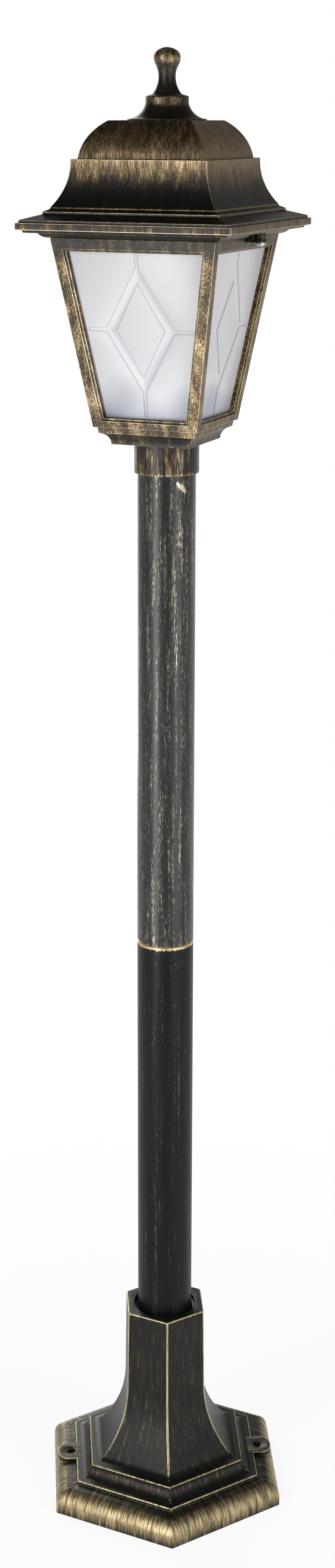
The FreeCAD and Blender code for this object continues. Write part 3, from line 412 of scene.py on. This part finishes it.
CROWN = 953.3
FINIAL_PATH = [
    (0.0, 0.0), (24.4, 0.0), (24.4, 0.8, -12.0), (13.4, 9.8), (13.4, 13.2, 1.1), (12.3, 14.3), (9.0, 15.4, -15.6),
    (5.3, 25.5, -13.0), (7.13, 32.16, 8.29), (8.3, 36.4, 4.94), (5.6, 40.8, 10.6), (0.0, 42.4),
]
FINIAL_BANDS = [
    (953.3, 0.3, 0.2), (954.2, 0.3, 0.2), (955.0, 0.12, 0.1), (960.0, 0.14, 0.1), (963.0, 0.4, 0.2),
    (966.0, 0.46, 0.4), (967.6, 0.5, 0.3), (968.6, 0.24, 0.1), (975.0, 0.2, 0.0), (982.0, 0.22, 0.0),
    (986.0, 0.38, 0.0), (989.0, 0.63, 0.0), (995.7, 0.56, 0.0),
]
finial_finish = antique_finish("dry_brushed_aluminium_finial", ("#0b0d0c", "#141512"), FINIAL_BANDS, (0.3, 3.0),
                               (4.0, 9.0), weights=(0.35, 0.25, 0.4))
bm = bmesh.new()
turned(bm, outline(FINIAL_PATH, steps=14))
bmesh.ops.translate(bm, verts=bm.verts, vec=(0, 0, CROWN * MM))
soften(bm, 0.3)
dress("finial_turning", bm, "finial", finial_finish)

# %% [markdown]
# ## Lantern frame
# The lantern is one tapered casting. Its outside and inside are again a mitred moulding, this time a plain tapered
# box on a coved foot. The windows could be cut by booleans, but those leave untidy edges. Each is cut as a joiner
# would think of it: inset the wall's face by the post's width, sink it by the reveal, inset it again, and bridge
# that opening to the one inside. Two lugs at the top edge take the roof's screws. The finish is the heaviest on the
# lamp: short stippled dashes all over the face.

# %% Lantern walls
FOOT, RISE = 758.0, 127.0
FRAME_PATH = [
    (26.5, 0.0, -7.0), (32.4, 7.4), (33.1, 11.3), (35.1, 11.3), (54.1, RISE), (49.6, RISE), (30.8, 12.5),
    (24.0, 12.5), (24.0, 4.0),
]
FRAME_BANDS = [
    (758.0, 0.2, 0.4), (759.0, 0.2, 0.1), (764.5, 0.24, 0.1), (766.0, 0.42, 0.3), (769.2, 0.38, 0.4),
    (771.0, 0.41, 0.35), (778.0, 0.41, 0.3), (784.0, 0.45, 0.45), (840.0, 0.45, 0.45), (872.0, 0.39, 0.45),
    (876.0, 0.24, 0.5), (885.0, 0.2, 0.3),
]
# thin gives the lantern's +X side painted shade and sheen as well as thinner brushing
frame_finish = antique_finish("stippled_aluminium_lantern", ("#0d0f0e", "#191b17"), FRAME_BANDS, (0.26, 1.6),
                              (6.0, 14.0), weights=(0.45, 0.26, 0.29), sides=4, thin=0.35, shine=0.25, span=0.112)
bm = bmesh.new()
foot, floor = mitred(bm, 4, outline(FRAME_PATH, steps=8))
bmesh.ops.edgeloop_fill(bm, edges=foot)
bmesh.ops.edgeloop_fill(bm, edges=floor)
bmesh.ops.recalc_face_normals(bm, faces=bm.faces)
walls = sorted(bm.faces, key=lambda face: -face.calc_area())[:8]
print("walls, outside and inside:", len(walls))

# %% Lantern windows
POST, REVEAL, SINK = 6.7, 1.5, 1.3
CHAMFER, SILL_DROP, MARGIN, WALL = 0.3, 2.3, 3.0, 4.4
pairs = [(outer, max(walls[4:], key=lambda face: -face.normal.dot(outer.normal))) for outer in walls[:4]]
for outer, inner in pairs:
    inward = -outer.normal
    bmesh.ops.inset_region(bm, faces=[outer], thickness=POST * MM, use_even_offset=True)
    # The sill is narrower than the posts, so the window reaches further down
    upward = sorted(outer.verts, key=lambda vert: vert.co.z)
    for vert in upward[:2]:
        partner = max(upward[2:], key=lambda other: other.co.xy.dot(vert.co.xy))
        bmesh.ops.translate(bm, verts=[vert], vec=(vert.co - partner.co).normalized() * SILL_DROP * MM)
    bmesh.ops.inset_region(bm, faces=[outer], thickness=CHAMFER * MM, depth=-SINK * MM, use_even_offset=True)
    bmesh.ops.inset_region(bm, faces=[outer], thickness=(REVEAL - CHAMFER) * MM, use_even_offset=True)
    bmesh.ops.inset_region(bm, faces=[inner], thickness=MARGIN * MM, use_even_offset=True)
    for vert in inner.verts:
        partner = min(outer.verts, key=lambda other: (other.co - vert.co).length)
        vert.co = partner.co + inward * (WALL - SINK) * MM
    rims = list(outer.edges) + list(inner.edges)
    bmesh.ops.delete(bm, geom=[outer, inner], context="FACES_ONLY")
    bmesh.ops.bridge_loops(bm, edges=rims)
bmesh.ops.translate(bm, verts=bm.verts, vec=(0, 0, FOOT * MM))
print("windows:", len(pairs))

# %% Screw lugs and the lantern's soft edges
LUG_TAIL, LUG_THICK = 9.0, 2.8
for side in (1, -1):
    # A disc whose inner half is drawn back under the wall, and then thickened
    lug = bmesh.ops.create_circle(bm, segments=24, radius=BOSS_RADIUS * MM, cap_ends=True)["verts"]
    bmesh.ops.translate(bm, verts=[vert for vert in lug if vert.co.x < 0], vec=(-LUG_TAIL * MM, 0, 0))
    bmesh.ops.translate(bm, verts=lug, vec=(SCREW_REACH * MM, 0, (FOOT + RISE - LUG_THICK) * MM))
    if side < 0:
        bmesh.ops.rotate(bm, verts=lug, matrix=Matrix.Rotation(math.pi, 3, "Z"))
    disc = list(dict.fromkeys(face for vert in lug for face in vert.link_faces))
    top = bmesh.ops.extrude_face_region(bm, geom=disc)["geom"]
    top = [item for item in top if isinstance(item, bmesh.types.BMVert)]
    bmesh.ops.translate(bm, verts=top, vec=(0, 0, LUG_THICK * MM))
soften(bm, 0.4)
dress("lantern_casting", bm, "lantern_frame", frame_finish)

# %% [markdown]
# ## Pole and collar
# The pole is two lengths of 38 mm tube that meet at a joint, where the lower tube's rolled edge shows as a gold
# ring. A short collar caps the pole under the lantern. A tube could be a cylinder with a Solidify modifier, but a
# turned section has its wall, its rolled edge and its chamfer at once. Here the brush ran the length of the tube.
# The lower one has only a few faint marks, and the upper one many pale flecks and one dab of paint that ran.

# %% Tubes and collar
LOWER_PATH = [(17.0, 70.0), (19.0, 70.0), (19.0, 418.8, 1.2), (17.8, 420.0), (17.0, 420.0)]
UPPER_PATH = [(17.0, 420.0), (18.4, 420.0), (19.0, 420.6), (19.0, 754.5), (17.0, 754.5)]
COLLAR_PATH = [(5.15, 754.5), (19.15, 754.5), (19.15, 738.5), (21.0, 738.5), (21.0, 758.0), (5.15, 758.0)]
LOWER_BANDS = [
    (70.0, 0.02, 0.0), (144.0, 0.02, 0.0), (200.0, 0.08, 0.0), (280.0, 0.02, 0.0), (340.0, 0.08, 0.0),
    (414.0, 0.02, 0.0), (417.4, 0.25, 0.2), (418.2, 0.9, 0.2), (418.8, 1.2, 0.2), (420.0, 1.2, 0.2),
]
UPPER_BANDS = [
    (420.0, 0.5, 0.3), (422.0, 0.37, 0.1), (440.0, 0.3, 0.0), (560.0, 0.27, 0.0), (640.0, 0.27, 0.0),
    (700.0, 0.3, 0.0), (754.5, 0.32, 0.0),
]
COLLAR_BANDS = [(738.5, 0.6, 0.2), (739.4, 0.5, 0.2), (740.6, 0.32, 0.1), (750.0, 0.34, 0.1), (758.0, 0.28, 0.1)]
TUBE_RADIUS, DAB_TURN, DAB_HEIGHT = 19, math.radians(54), 731
DAB = (
    (TUBE_RADIUS * MM * math.sin(DAB_TURN), -TUBE_RADIUS * MM * math.cos(DAB_TURN), DAB_HEIGHT * MM),
    (0, math.radians(45), DAB_TURN), (6 * MM, 6 * MM, 1.8 * MM),
)
TURNINGS = [
    # piece, node, section, bands, then the finish: paint, stroke, patch, golds, shine, gloss and dab
    ("lower_pole", "lower_tube", LOWER_PATH, LOWER_BANDS,
     ("#0a0c0e", "#111417"), (0.4, 5.0), (2.0, 70.0), RING_GOLD, 0.16, 0.33, None),
    ("upper_pole", "upper_tube", UPPER_PATH, UPPER_BANDS,
     ("#0b0c0d", "#131415"), (0.45, 3.5), (2.0, 50.0), PALE_GOLD, 0.42, 0.26, DAB),
    ("lantern_cap", "lantern_collar", COLLAR_PATH, COLLAR_BANDS,
     ("#100f0f", "#1a1918"), (0.5, 9.0), (2.5, 24.0), CREAM_GOLD, 0.35, 0.3, None),
]
for name, node, points, bands, paint, stroke, patch, golds, shine, gloss, dab in TURNINGS:
    finish = antique_finish("dry_brushed_aluminium_" + name, paint, bands, stroke, patch, weights=(0.45, 0.35, 0.2),
                            golds=golds, shine=shine, gloss=gloss, span=0.11, dab=dab)
    bm = bmesh.new()
    turned(bm, outline(points, steps=5), closed=True)
    soften(bm, 0.2)
    dress(name, bm, node, finish)

# %% [markdown]
# ## Base
# The base is one hexagonal casting: a rounded rim, a plinth with an ear on two sides, a step, a flare that runs out
# level on the step, and a straight socket for the pole. It is mitred like the roof, from the hollow underneath,
# round the rim and up. The socket's top is a hexagon with a round hole. A boolean could cut that, but a fill
# between two rings of edges makes it in one step. The grub screw's hole at the back is made the same way, with the
# socket laid on its side for a moment, so that its ring can be drawn level like the others.

# %% Base mouldings
TURN = math.radians(26.4)
SOCKET_TOP, MOUTH, MOUTH_DEEP, BORE, BORE_DEEP = 141.5, 21.4, 2.5, 19.15, 69.0
BASE_PATH = [
    (19.8, 62.0), (39.56, 32.37), (40.86, 24.3), (64.8, 12.5), (75.0, 6.0), (75.0, 0.0), (80.0, 0.0),
    (80.0, 6.0, 11.5), (68.5, 17.5), (64.8, 17.5), (64.8, 20.3), (61.2, 20.3, -7.7), (54.2, 27.3), (54.2, 29.3),
    (50.86, 29.3, -8.0), (44.56, 32.37, -80.0), (27.6, 81.63), (26.8, SOCKET_TOP),
]
# On the rim: less gold at the foot, most on the round, partly brushing, partly painted shade and highlight
BASE_GOLD_AND_RIM_SHADE = [
    (0.0, 0.34, 0.0), (2.0, 0.5, 0.0), (5.0, 0.68, 0.1), (9.0, 0.82, 0.1), (13.0, 0.78, 0.1), (16.4, 0.66, 0.1),
    (17.5, 0.34, 0.2), (19.0, 0.1, 0.8), (21.2, 0.1, 0.8), (22.5, 0.24, 0.0), (25.0, 0.34, 0.0), (27.5, 0.14, 0.2),
    (28.4, 0.1, 0.8), (29.8, 0.08, 0.6), (30.4, 0.08, 0.0), (31.5, 0.14, 0.6), (40.0, 0.18, 0.8),
    (60.0, 0.21, 0.85), (100.0, 0.18, 0.8), (136.0, 0.18, 0.8), (140.6, 0.22, 0.9), (141.5, 0.02, 0.9),
]
base_finish = antique_finish("dry_brushed_aluminium_base", ("#0f100e", "#191a16"), BASE_GOLD_AND_RIM_SHADE, (0.3, 18.0),
                             (2.5, 30.0), weights=(0.55, 0.25, 0.2), sides=6, turn=TURN, golds=WARM_GOLD,
                             shine=0.22, span=0.12)
bm = bmesh.new()
inner, top = mitred(bm, 6, outline(BASE_PATH))
bmesh.ops.edgeloop_fill(bm, edges=inner)
ring = circle(bm, 48, MOUTH, (0, 0, SOCKET_TOP))
bmesh.ops.triangle_fill(bm, edges=top + ring, use_beauty=True)
for scale, rise in ((1.0, -MOUTH_DEEP), (BORE / MOUTH, 0.0), (1.0, -BORE_DEEP)):
    ring = drawn_on(bm, ring, scale, rise)
bmesh.ops.edgeloop_fill(bm, edges=ring)
print("socket's mouth and bore across:", 2 * MOUTH, 2 * BORE)

# %% Grub screw's hole
SOCKET_FOOT = 100.0  # faces whose middle is above this are the socket's
GRUB_HEIGHT, GRUB_HOLE, GRUB_DEEP = 122.0, 6.15, 7.7
WALL_REACH = 27.06  # how far the leaning wall is from the axis at the hole's middle
BARE = 24.0  # the brush never reached the edges this near to the axis
socket = [face for face in bm.faces if face.calc_center_median().z > SOCKET_FOOT * MM]
wall = min(socket, key=lambda face: face.calc_center_median().x)
rim = list(wall.edges)
bmesh.ops.delete(bm, geom=[wall], context="FACES_ONLY")
bmesh.ops.rotate(bm, verts=bm.verts, matrix=Matrix.Rotation(math.pi / 2, 3, "Y"))
ring = circle(bm, 24, GRUB_HOLE / 2, (GRUB_HEIGHT, 0, WALL_REACH))
bmesh.ops.triangle_fill(bm, edges=rim + ring, use_beauty=True)
bmesh.ops.edgeloop_fill(bm, edges=drawn_on(bm, ring, rise=-GRUB_DEEP))
bmesh.ops.rotate(bm, verts=bm.verts, matrix=Matrix.Rotation(-math.pi / 2, 3, "Y"))
bmesh.ops.rotate(bm, verts=bm.verts, matrix=Matrix.Rotation(TURN, 3, "Z"))
soften(bm, 0.8)
mark = bm.faces.layers.float[EDGE]
for face in bm.faces:
    if face.calc_center_median().xy.length < BARE * MM:
        face[mark] = 0.0
dress("base_casting", bm, "base", base_finish)

# %% [markdown]
# ## Anchor ears
# Two ears on the plinth take the bolts into the ground. Each has a round end, a soft dish and a hole. They belong to
# the base's casting, but a fillet between them and the plinth isn't seen, so they are drawn apart: the outline goes
# up, a ring for the dish is drawn on its top, and the ring shrinks step by step down to the hole. Only the upper rim
# is rounded, and the brush went lightly over the top.

# %% Ears
EAR_PATH = [(59.8, -10.0), (69.5, -10.0, 8.5), (78.0, -1.5), (78.0, 1.5, 8.5), (69.5, 10.0), (59.8, 10.0)]
EAR_TOP, EAR_GOLD = 20.35, 0.4
DISH, DISH_REACH = 5.2, 70.4
# How each step shrinks the ring, lifts it, and how far from the axis the point is that it shrinks to
DISH_STEPS = ((0.85, -0.3, 66.0), (0.75, -0.3, 65.0), (0.8, -0.2, 66.0), (1.0, 0.8 - EAR_TOP, 0.0))
bm = bmesh.new()
worn = []
for half_turn in (0, math.pi):
    before = set(bm.verts)
    rim = wire(bm, [(point.x, point.y, 0) for point in outline(EAR_PATH, steps=6)])[1]
    upper = drawn_on(bm, rim, rise=EAR_TOP)
    ring = circle(bm, 32, DISH, (DISH_REACH, 0, EAR_TOP))
    bmesh.ops.triangle_fill(bm, edges=upper + ring, use_beauty=True)
    for scale, rise, middle in DISH_STEPS:
        ring = drawn_on(bm, ring, scale, rise, Vector((middle, 0.0, 0.0)))
    bmesh.ops.triangle_fill(bm, edges=rim + ring, use_beauty=True)
    ear = [vert for vert in bm.verts if vert not in before]
    bmesh.ops.rotate(bm, verts=ear, matrix=Matrix.Rotation(TURN + half_turn, 3, "Z"))
    worn += upper
soften(bm, 0.7, worn)
mark = bm.faces.layers.float[EDGE]
for face in bm.faces:
    if face.normal.z > 0.5:
        face[mark] = max(face[mark], EAR_GOLD)
dress("base_ears", bm, "base", base_finish)

# %% [markdown]
# ## Frosted panes
# The panes are sheet acrylic, frosted on the inside. A band between two nested diamonds, with a round-ended stroke
# off each tip, is sunk 0.6 mm in the outside. It could be drawn in the material, but its edges only look right
# when they really slope and catch the light, so three outlines are drawn on the sheet and filled between, and the
# band is inset downwards: that one step makes every slope. An attribute tells the band, which is drawn a little
# lighter, from its walls, which are darkened with painted shade for the grooves. Frosting spreads the light, so a
# pane shows a pale, even face. The soft grey-blue near the foot is painted shade: the shadow of the lantern's floor
# and lampholder behind the frosting. Real transmission would need many samples to be clean and look the same, so
# the pane is a bright diffuse sheet with a little gloss.

# %% Frosted acrylic
BAND_AND_GROOVE_SHADE, SHADE_STEP = "pressed", 0.04
FROST = 0.6  # in mm: real frosting is under 0.1 mm, too fine to show, so it is drawn coarser
# Painted shade: the pane turns grey-blue towards its foot for the shadow of the lantern's floor and lampholder
SHADE_CLOUD_SIZE, SHADE_CLOUD_LIFT = 38, 11  # in mm: how wide the soft clouds at the foot are, and how far they rise and sink
PAINTED_SHADE_SPAN = (770, 885)  # in mm: the heights of the first and the last shade
PANE_COLOUR_AND_PAINTED_SHADE = [(0.0, "#6c7080"), (0.1, "#a1a4b0"), (0.24, "#c6c7ca"), (0.42, "#c0c0c4"), (1.0, "#c2c2c5")]
pane_finish, tree, surface = new_material("frosted_acrylic_sheet")
place = add(tree, "TexCoord")["Object"]
height = add(tree, "SeparateXYZ", {}, {0: place})[2]
# The painted shade's upper edge rises and sinks with a soft cloud
shade_cloud = add(tree, "TexNoise", {"Scale": 1 / (SHADE_CLOUD_SIZE * MM), "Detail": 0.0}, {"Vector": place})[0]
shade_lift = add(tree, "MapRange", {1: 0.3, 2: 0.7, 3: -SHADE_CLOUD_LIFT * MM, 4: SHADE_CLOUD_LIFT * MM}, {0: shade_cloud})[0]
height = add(tree, "Math", {"operation": "ADD"}, {0: height, 1: shade_lift})[0]
height = add(tree, "MapRange", {1: PAINTED_SHADE_SPAN[0] * MM, 2: PAINTED_SHADE_SPAN[1] * MM}, {0: height})[0]
stops = [(level, linear(code)) for level, code in PANE_COLOUR_AND_PAINTED_SHADE]
painted_shade_tint = add(tree, "ValToRGB", {"stops": stops}, {0: height})[0]
# Painted shade: the sunk band's walls are drawn darker, and the band itself a little lighter
sunk = add(tree, "Attribute", {"attribute_name": BAND_AND_GROOVE_SHADE})["Fac"]
shade = add(tree, "Math", {"operation": "MULTIPLY_ADD", 1: SHADE_STEP, 2: 1.0}, {0: sunk})[0]
painted_shade_tint = add(tree, "VectorMath", {"operation": "SCALE"}, {0: painted_shade_tint, "Scale": shade})[0]
frost = add(tree, "TexNoise", {"Scale": 1 / (FROST * MM), "Detail": 2.0}, {"Vector": place})[0]
bump = add(tree, "Bump", {"Strength": 0.06, "Distance": 0.05 * MM}, {"Height": frost})[0]
shader = add(tree, "BsdfPrincipled", {"Roughness": 0.34, "IOR": 1.49}, {"Base Color": painted_shade_tint, "Normal": bump})
tree.links.new(shader[0], surface)
print("pane finish nodes:", len(tree.nodes))

# %% Pane sheets
LEAN = math.atan((54.1 - 35.1) / (RISE - 11.3))
SEAT, SILL, PANE_RISE, PANE_TOP, THICK = 30.8, 12.5, 115.24, 49.47, 3.0
DIAMOND_HEIGHT, SLOPED, DEEP = 60.6, 0.55, 0.6
# The band is drawn 4% lighter, and its walls 28% darker as painted shade in the grooves
BAND_LIGHTER, GROOVE_PAINTED_SHADE = 1.0, -7.0
OUTER_DIAMOND = [
    (22.7, -1.4), (33.5, -1.4, 1.4), (33.5, 1.4), (22.7, 1.4), (1.4, 38.56), (1.4, 45.4, 1.4), (-1.4, 45.4),
    (-1.4, 38.56), (-22.7, 1.4), (-33.5, 1.4, 1.4), (-33.5, -1.4), (-22.7, -1.4), (-1.4, -38.56),
    (-1.4, -53.0, 1.4), (1.4, -53.0), (1.4, -38.56),
]
INNER_DIAMOND = [(15.6, 0.0), (0.0, 28.4), (-15.6, 0.0), (0.0, -28.4)]
# Node, degrees round from the front, and how much the sheet's edges stand back: the side panes fit between the others
PANES = [("pane_front", 0, 0.15), ("pane_right", 90, 3.34), ("pane_back", 180, 0.15), ("pane_left", 270, 3.34)]
for node, turn, gap in PANES:
    bm = bmesh.new()
    pressed = bm.faces.layers.float.new(BAND_AND_GROOVE_SHADE)
    low, high = SEAT - gap, PANE_TOP - gap
    border = wire(bm, [(-low, 0, 0), (low, 0, 0), (high, PANE_RISE, 0), (-high, PANE_RISE, 0)])[1]
    outer, inner = (wire(bm, [(point.x, point.y + DIAMOND_HEIGHT, 0) for point in outline(points, steps=8)])[1]
                    for points in (OUTER_DIAMOND, INNER_DIAMOND))
    bmesh.ops.triangle_fill(bm, edges=border + outer, normal=(0, 0, 1), use_beauty=True)
    band = bmesh.ops.triangle_fill(bm, edges=outer + inner, normal=(0, 0, 1), use_beauty=True)["geom"]
    band = [item for item in band if isinstance(item, bmesh.types.BMFace)]
    bmesh.ops.edgeloop_fill(bm, edges=inner)
    bmesh.ops.reverse_faces(bm, faces=[face for face in bm.faces if face.normal.z < 0])
    walls = bmesh.ops.inset_region(bm, faces=band, thickness=SLOPED * MM, depth=-DEEP * MM, use_boundary=True,
                                   use_even_offset=True)["faces"]
    for faces, value in ((band, BAND_LIGHTER), (walls, GROOVE_PAINTED_SHADE)):
        for face in faces:
            face[pressed] = value
    bmesh.ops.edgeloop_fill(bm, edges=drawn_on(bm, border, rise=-THICK))
    bmesh.ops.rotate(bm, verts=bm.verts, matrix=Matrix.Rotation(math.pi / 2 + LEAN, 3, "X"))
    bmesh.ops.translate(bm, verts=bm.verts, vec=Vector((0, -SEAT, FOOT + SILL)) * MM)
    bmesh.ops.rotate(bm, verts=bm.verts, matrix=Matrix.Rotation(math.radians(turn), 3, "Z"))
    dress("sheet_" + node, bm, node, pane_finish)

# %% [markdown]
# ## Small metal and the parts inside
# Screws, wiring and the lampholder keep their CAD shapes, because they are small, turned and already right. A plain
# colour would make them look like toys, so each gets what its material shows, from one function: two close shades
# over a grain, a little relief and an uneven gloss. The grain of drawn or plated metal is under half a millimetre and
# would not show, so it is drawn a little coarser than life.

# %% Plain finishes


def plain_finish(name, dark, light, grain, metallic, roughness, stretch=1.0):
    """A material whose colour drifts between two shades over a grain of this size in mm."""
    material, tree, surface = new_material(name)
    place = add(tree, "TexCoord")["Object"]
    size = 1 / (grain * MM)
    drawn = add(tree, "Mapping", {"Scale": (size, size, size / stretch)}, {"Vector": place})[0]
    noise = add(tree, "TexNoise", {"Scale": 1.0, "Detail": 3.0}, {"Vector": drawn})[0]
    colour = add(tree, "ValToRGB", {"stops": [(0.35, linear(dark)), (0.65, linear(light))]}, {0: noise})[0]
    gloss = add(tree, "MapRange", {1: 0.3, 2: 0.7, 3: roughness - 0.05, 4: roughness + 0.05}, {0: noise})[0]
    bump = add(tree, "Bump", {"Strength": 0.1, "Distance": 0.05 * MM}, {"Height": noise})[0]
    links = {"Base Color": colour, "Roughness": gloss, "Normal": bump}
    shader = add(tree, "BsdfPrincipled", {"Metallic": metallic}, links)
    tree.links.new(shader[0], surface)
    return material


FINISHES = {
    # As it left the mill: a soft grey shine with fine lines along the piece
    "plain_aluminium": plain_finish("mill_aluminium", "#a9abae", "#c4c6c8", 0.6, 1.0, 0.4, stretch=12),
    # Chemically blackened: near black with a dull, oily shine
    "blackened_steel": plain_finish("blackened_steel", "#141415", "#1f1f20", 0.8, 0.3, 0.42),
    # Zinc plate: bright, a little blue, with a faint cloudy spangle
    "zinc_steel": plain_finish("bright_zinc_plate", "#b4bfc6", "#d3dbdf", 1.0, 1.0, 0.28),
    # Glazed porcelain: warm white under a clear gloss
    "white_porcelain": plain_finish("glazed_porcelain", "#e2dfd8", "#ece9e3", 6.0, 0.0, 0.2),
    # Drawn brass: yellow metal with fine lines along the piece
    "brass": plain_finish("drawn_brass", "#b58d3f", "#cda65a", 0.6, 1.0, 0.3, stretch=10),
    # Opal polycarbonate: an even, milky white with a soft gloss
    "opal_bulb": plain_finish("opal_polycarbonate", "#ececea", "#f3f3f1", 10.0, 0.0, 0.3),
    # Extruded sheath: black, half matt
    "lead_sheath": plain_finish("black_cable_sheath", "#1a1a1a", "#222222", 1.5, 0.0, 0.55),
    # Moulded rubber: black and matt
    "black_rubber": plain_finish("moulded_rubber", "#161616", "#1e1e1e", 1.0, 0.0, 0.7),
    # Moulded nylon: off-white with a satin skin
    "white_plastic": plain_finish("moulded_nylon", "#dedcd5", "#e8e6e0", 4.0, 0.0, 0.4),
}
for node, item in frame["nodes"].items():
    finish = FINISHES.get(SLOT_OF[node])
    if finish:
        item.data.materials.clear()
        item.data.materials.append(finish)
print("finishes:", sorted(FINISHES))

# %% [markdown]
# ## Paper floor
# The lamp stands on white paper. A bright lamp on a white floor could make it white, but would wash out the lamp. So
# the paper is white only to rays that the eye sees, from the camera, in gloss and through glass. It grows whiter away
# from the lamp so that no horizon shows. To all other rays it is plain paper, and it keeps the lamp's shadow.

# %% Paper floor
NEAR, FAR = 0.15, 0.6
bm = bmesh.new()
bmesh.ops.create_grid(bm, x_segments=1, y_segments=1, size=6.0)
mesh = bpy.data.meshes.new("studio_floor")
bm.to_mesh(mesh)
bm.free()
studio_floor = bpy.data.objects.new("studio_floor", mesh)
bpy.context.scene.collection.objects.link(studio_floor)


def seen_by_eye(tree):
    """The ray's kinds, and whether it is one that the eye sees."""
    rays = add(tree, "LightPath")
    seen = add(tree, "Math", {"operation": "MAXIMUM"}, {0: rays["Is Camera Ray"], 1: rays["Is Glossy Ray"]})[0]
    return rays, add(tree, "Math", {"operation": "MAXIMUM"}, {0: seen, 1: rays["Is Transmission Ray"]})[0]


# Uncoated paper: white, quite matt, with a soft shadow
white, tree, surface = new_material("white_paper")
seen = seen_by_eye(tree)[1]
away = add(tree, "VectorMath", {"operation": "LENGTH"}, {0: add(tree, "TexCoord")["Object"]})["Value"]
share = add(tree, "MapRange", {1: NEAR, 2: FAR, 3: 0.9, 4: 1.0}, {0: away})[0]
share = add(tree, "Math", {"operation": "MULTIPLY"}, {0: share, 1: seen})[0]
paper = add(tree, "BsdfDiffuse", {"Color": linear("#f2f2f2")})[0]
glow = add(tree, "Emission", {"Color": linear("#ffffff"), "Strength": 1.0})[0]
tree.links.new(add(tree, "MixShader", {}, {0: share, 1: paper, 2: glow})[0], surface)
mesh.materials.append(white)
print("paper floor, whitest from", FAR, "m on")

# %% [markdown]
# ## The room
# What a satin black shows is mostly the room. An even white one would put a grey veil on every ledge, so the room is
# white behind the lamp, grey at its sides, and dark above and behind the camera, which keeps ledges and hollows
# black. The camera itself always sees it white.

# %% White room with a dark ceiling
TO_DARK = (0.39, -0.92, 1.2)  # towards the camera and up
ROOM_SHADES = [(0.04, "#ffffff"), (0.2, "#949494"), (0.4, "#606060"), (0.75, "#444444")]
world = bpy.data.worlds.new("studio")
bpy.context.scene.world = world
world.use_nodes = True
tree = world.node_tree
tree.nodes.clear()
rays, seen = seen_by_eye(tree)
strength = add(tree, "MapRange", {3: 1.2, 4: 1.0}, {0: seen})[0]
around = add(tree, "TexCoord")["Generated"]
darker = add(tree, "VectorMath", {"operation": "DOT_PRODUCT", 1: TO_DARK}, {0: around})["Value"]
darker = add(tree, "MapRange", {1: -1.0, 2: 1.0}, {0: darker})[0]
room = add(tree, "ValToRGB", {"stops": [(level, linear(code)) for level, code in ROOM_SHADES]}, {0: darker})[0]
room = add(tree, "Mix", {"data_type": "RGBA", 7: linear("#ffffff")}, {0: rays["Is Camera Ray"], 6: room})[2]
sky = add(tree, "Background", {}, {"Color": room, "Strength": strength})[0]
add(tree, "OutputWorld", {}, {"Surface": sky})
print("room shades:", len(ROOM_SHADES))

# %% [markdown]
# ## Softboxes and camera
# Two tall softboxes, one to the left of the camera and one to the right, draw the two long highlights down the pole.
# Sun lamps would be simpler, but they have no width to reflect. A fill lights the right side more without a
# brighter highlight, because gloss doesn't show it, and a fourth box stands behind. The camera stands where the photo
# was taken from: its place and lens come from a fit to corners of the lamp, and so do the hair's breadth that it looks
# beside the axis and its small roll.

# %% Softboxes
SOFTBOXES = [
    # name, degrees round from the front to the right, distance and height in m, size in m, watts, whether reflected
    ("left_softbox", -17, 0.95, 0.66, (0.18, 1.28), 8.8, True),
    ("right_softbox", 68, 0.95, 0.66, (0.5, 1.28), 5.2, True),
    ("right_fill", 80, 1.2, 0.8, (0.5, 1.0), 6.0, False),
    ("back_softbox", 222, 1.3, 0.8, (0.7, 1.3), 12.0, True),
]
for name, azimuth, distance, height, size, power, reflected in SOFTBOXES:
    lamp = bpy.data.lights.new(name, "AREA")
    lamp.shape = "RECTANGLE"
    lamp.size, lamp.size_y = size
    lamp.energy = power
    holder = bpy.data.objects.new(name, lamp)
    bpy.context.scene.collection.objects.link(holder)
    turn = math.radians(azimuth)
    holder.location = (distance * math.sin(turn), -distance * math.cos(turn), height)
    holder.rotation_euler = (math.pi / 2, 0, turn)
    holder.visible_camera = False
    holder.visible_glossy = reflected
print("softboxes:", [box[0] for box in SOFTBOXES])

# %% Camera
AZIMUTH, PITCH, DISTANCE, EYE = math.radians(22.907), math.radians(17.10), 1.4014, 0.961
HEADING, ROLL = math.radians(22.857), math.radians(0.12)
camera = bpy.data.cameras.new("photo_camera")
camera.sensor_fit = "VERTICAL"
camera.sensor_height = 36.0
camera.lens = 50.52
stand = bpy.data.objects.new("photo_camera", camera)
bpy.context.scene.collection.objects.link(stand)
stand.location = (DISTANCE * math.sin(AZIMUTH), -DISTANCE * math.cos(AZIMUTH), EYE)
down = Matrix.Rotation(math.pi / 2 - PITCH, 3, "X")
aim = Matrix.Rotation(HEADING, 3, "Z") @ down @ Matrix.Rotation(ROLL, 3, "Z")
stand.rotation_euler = aim.to_euler()
bpy.context.scene.camera = stand
bpy.context.scene.view_settings.view_transform = "Standard"
print("camera stands", DISTANCE, "m away at a height of", EYE, "m")
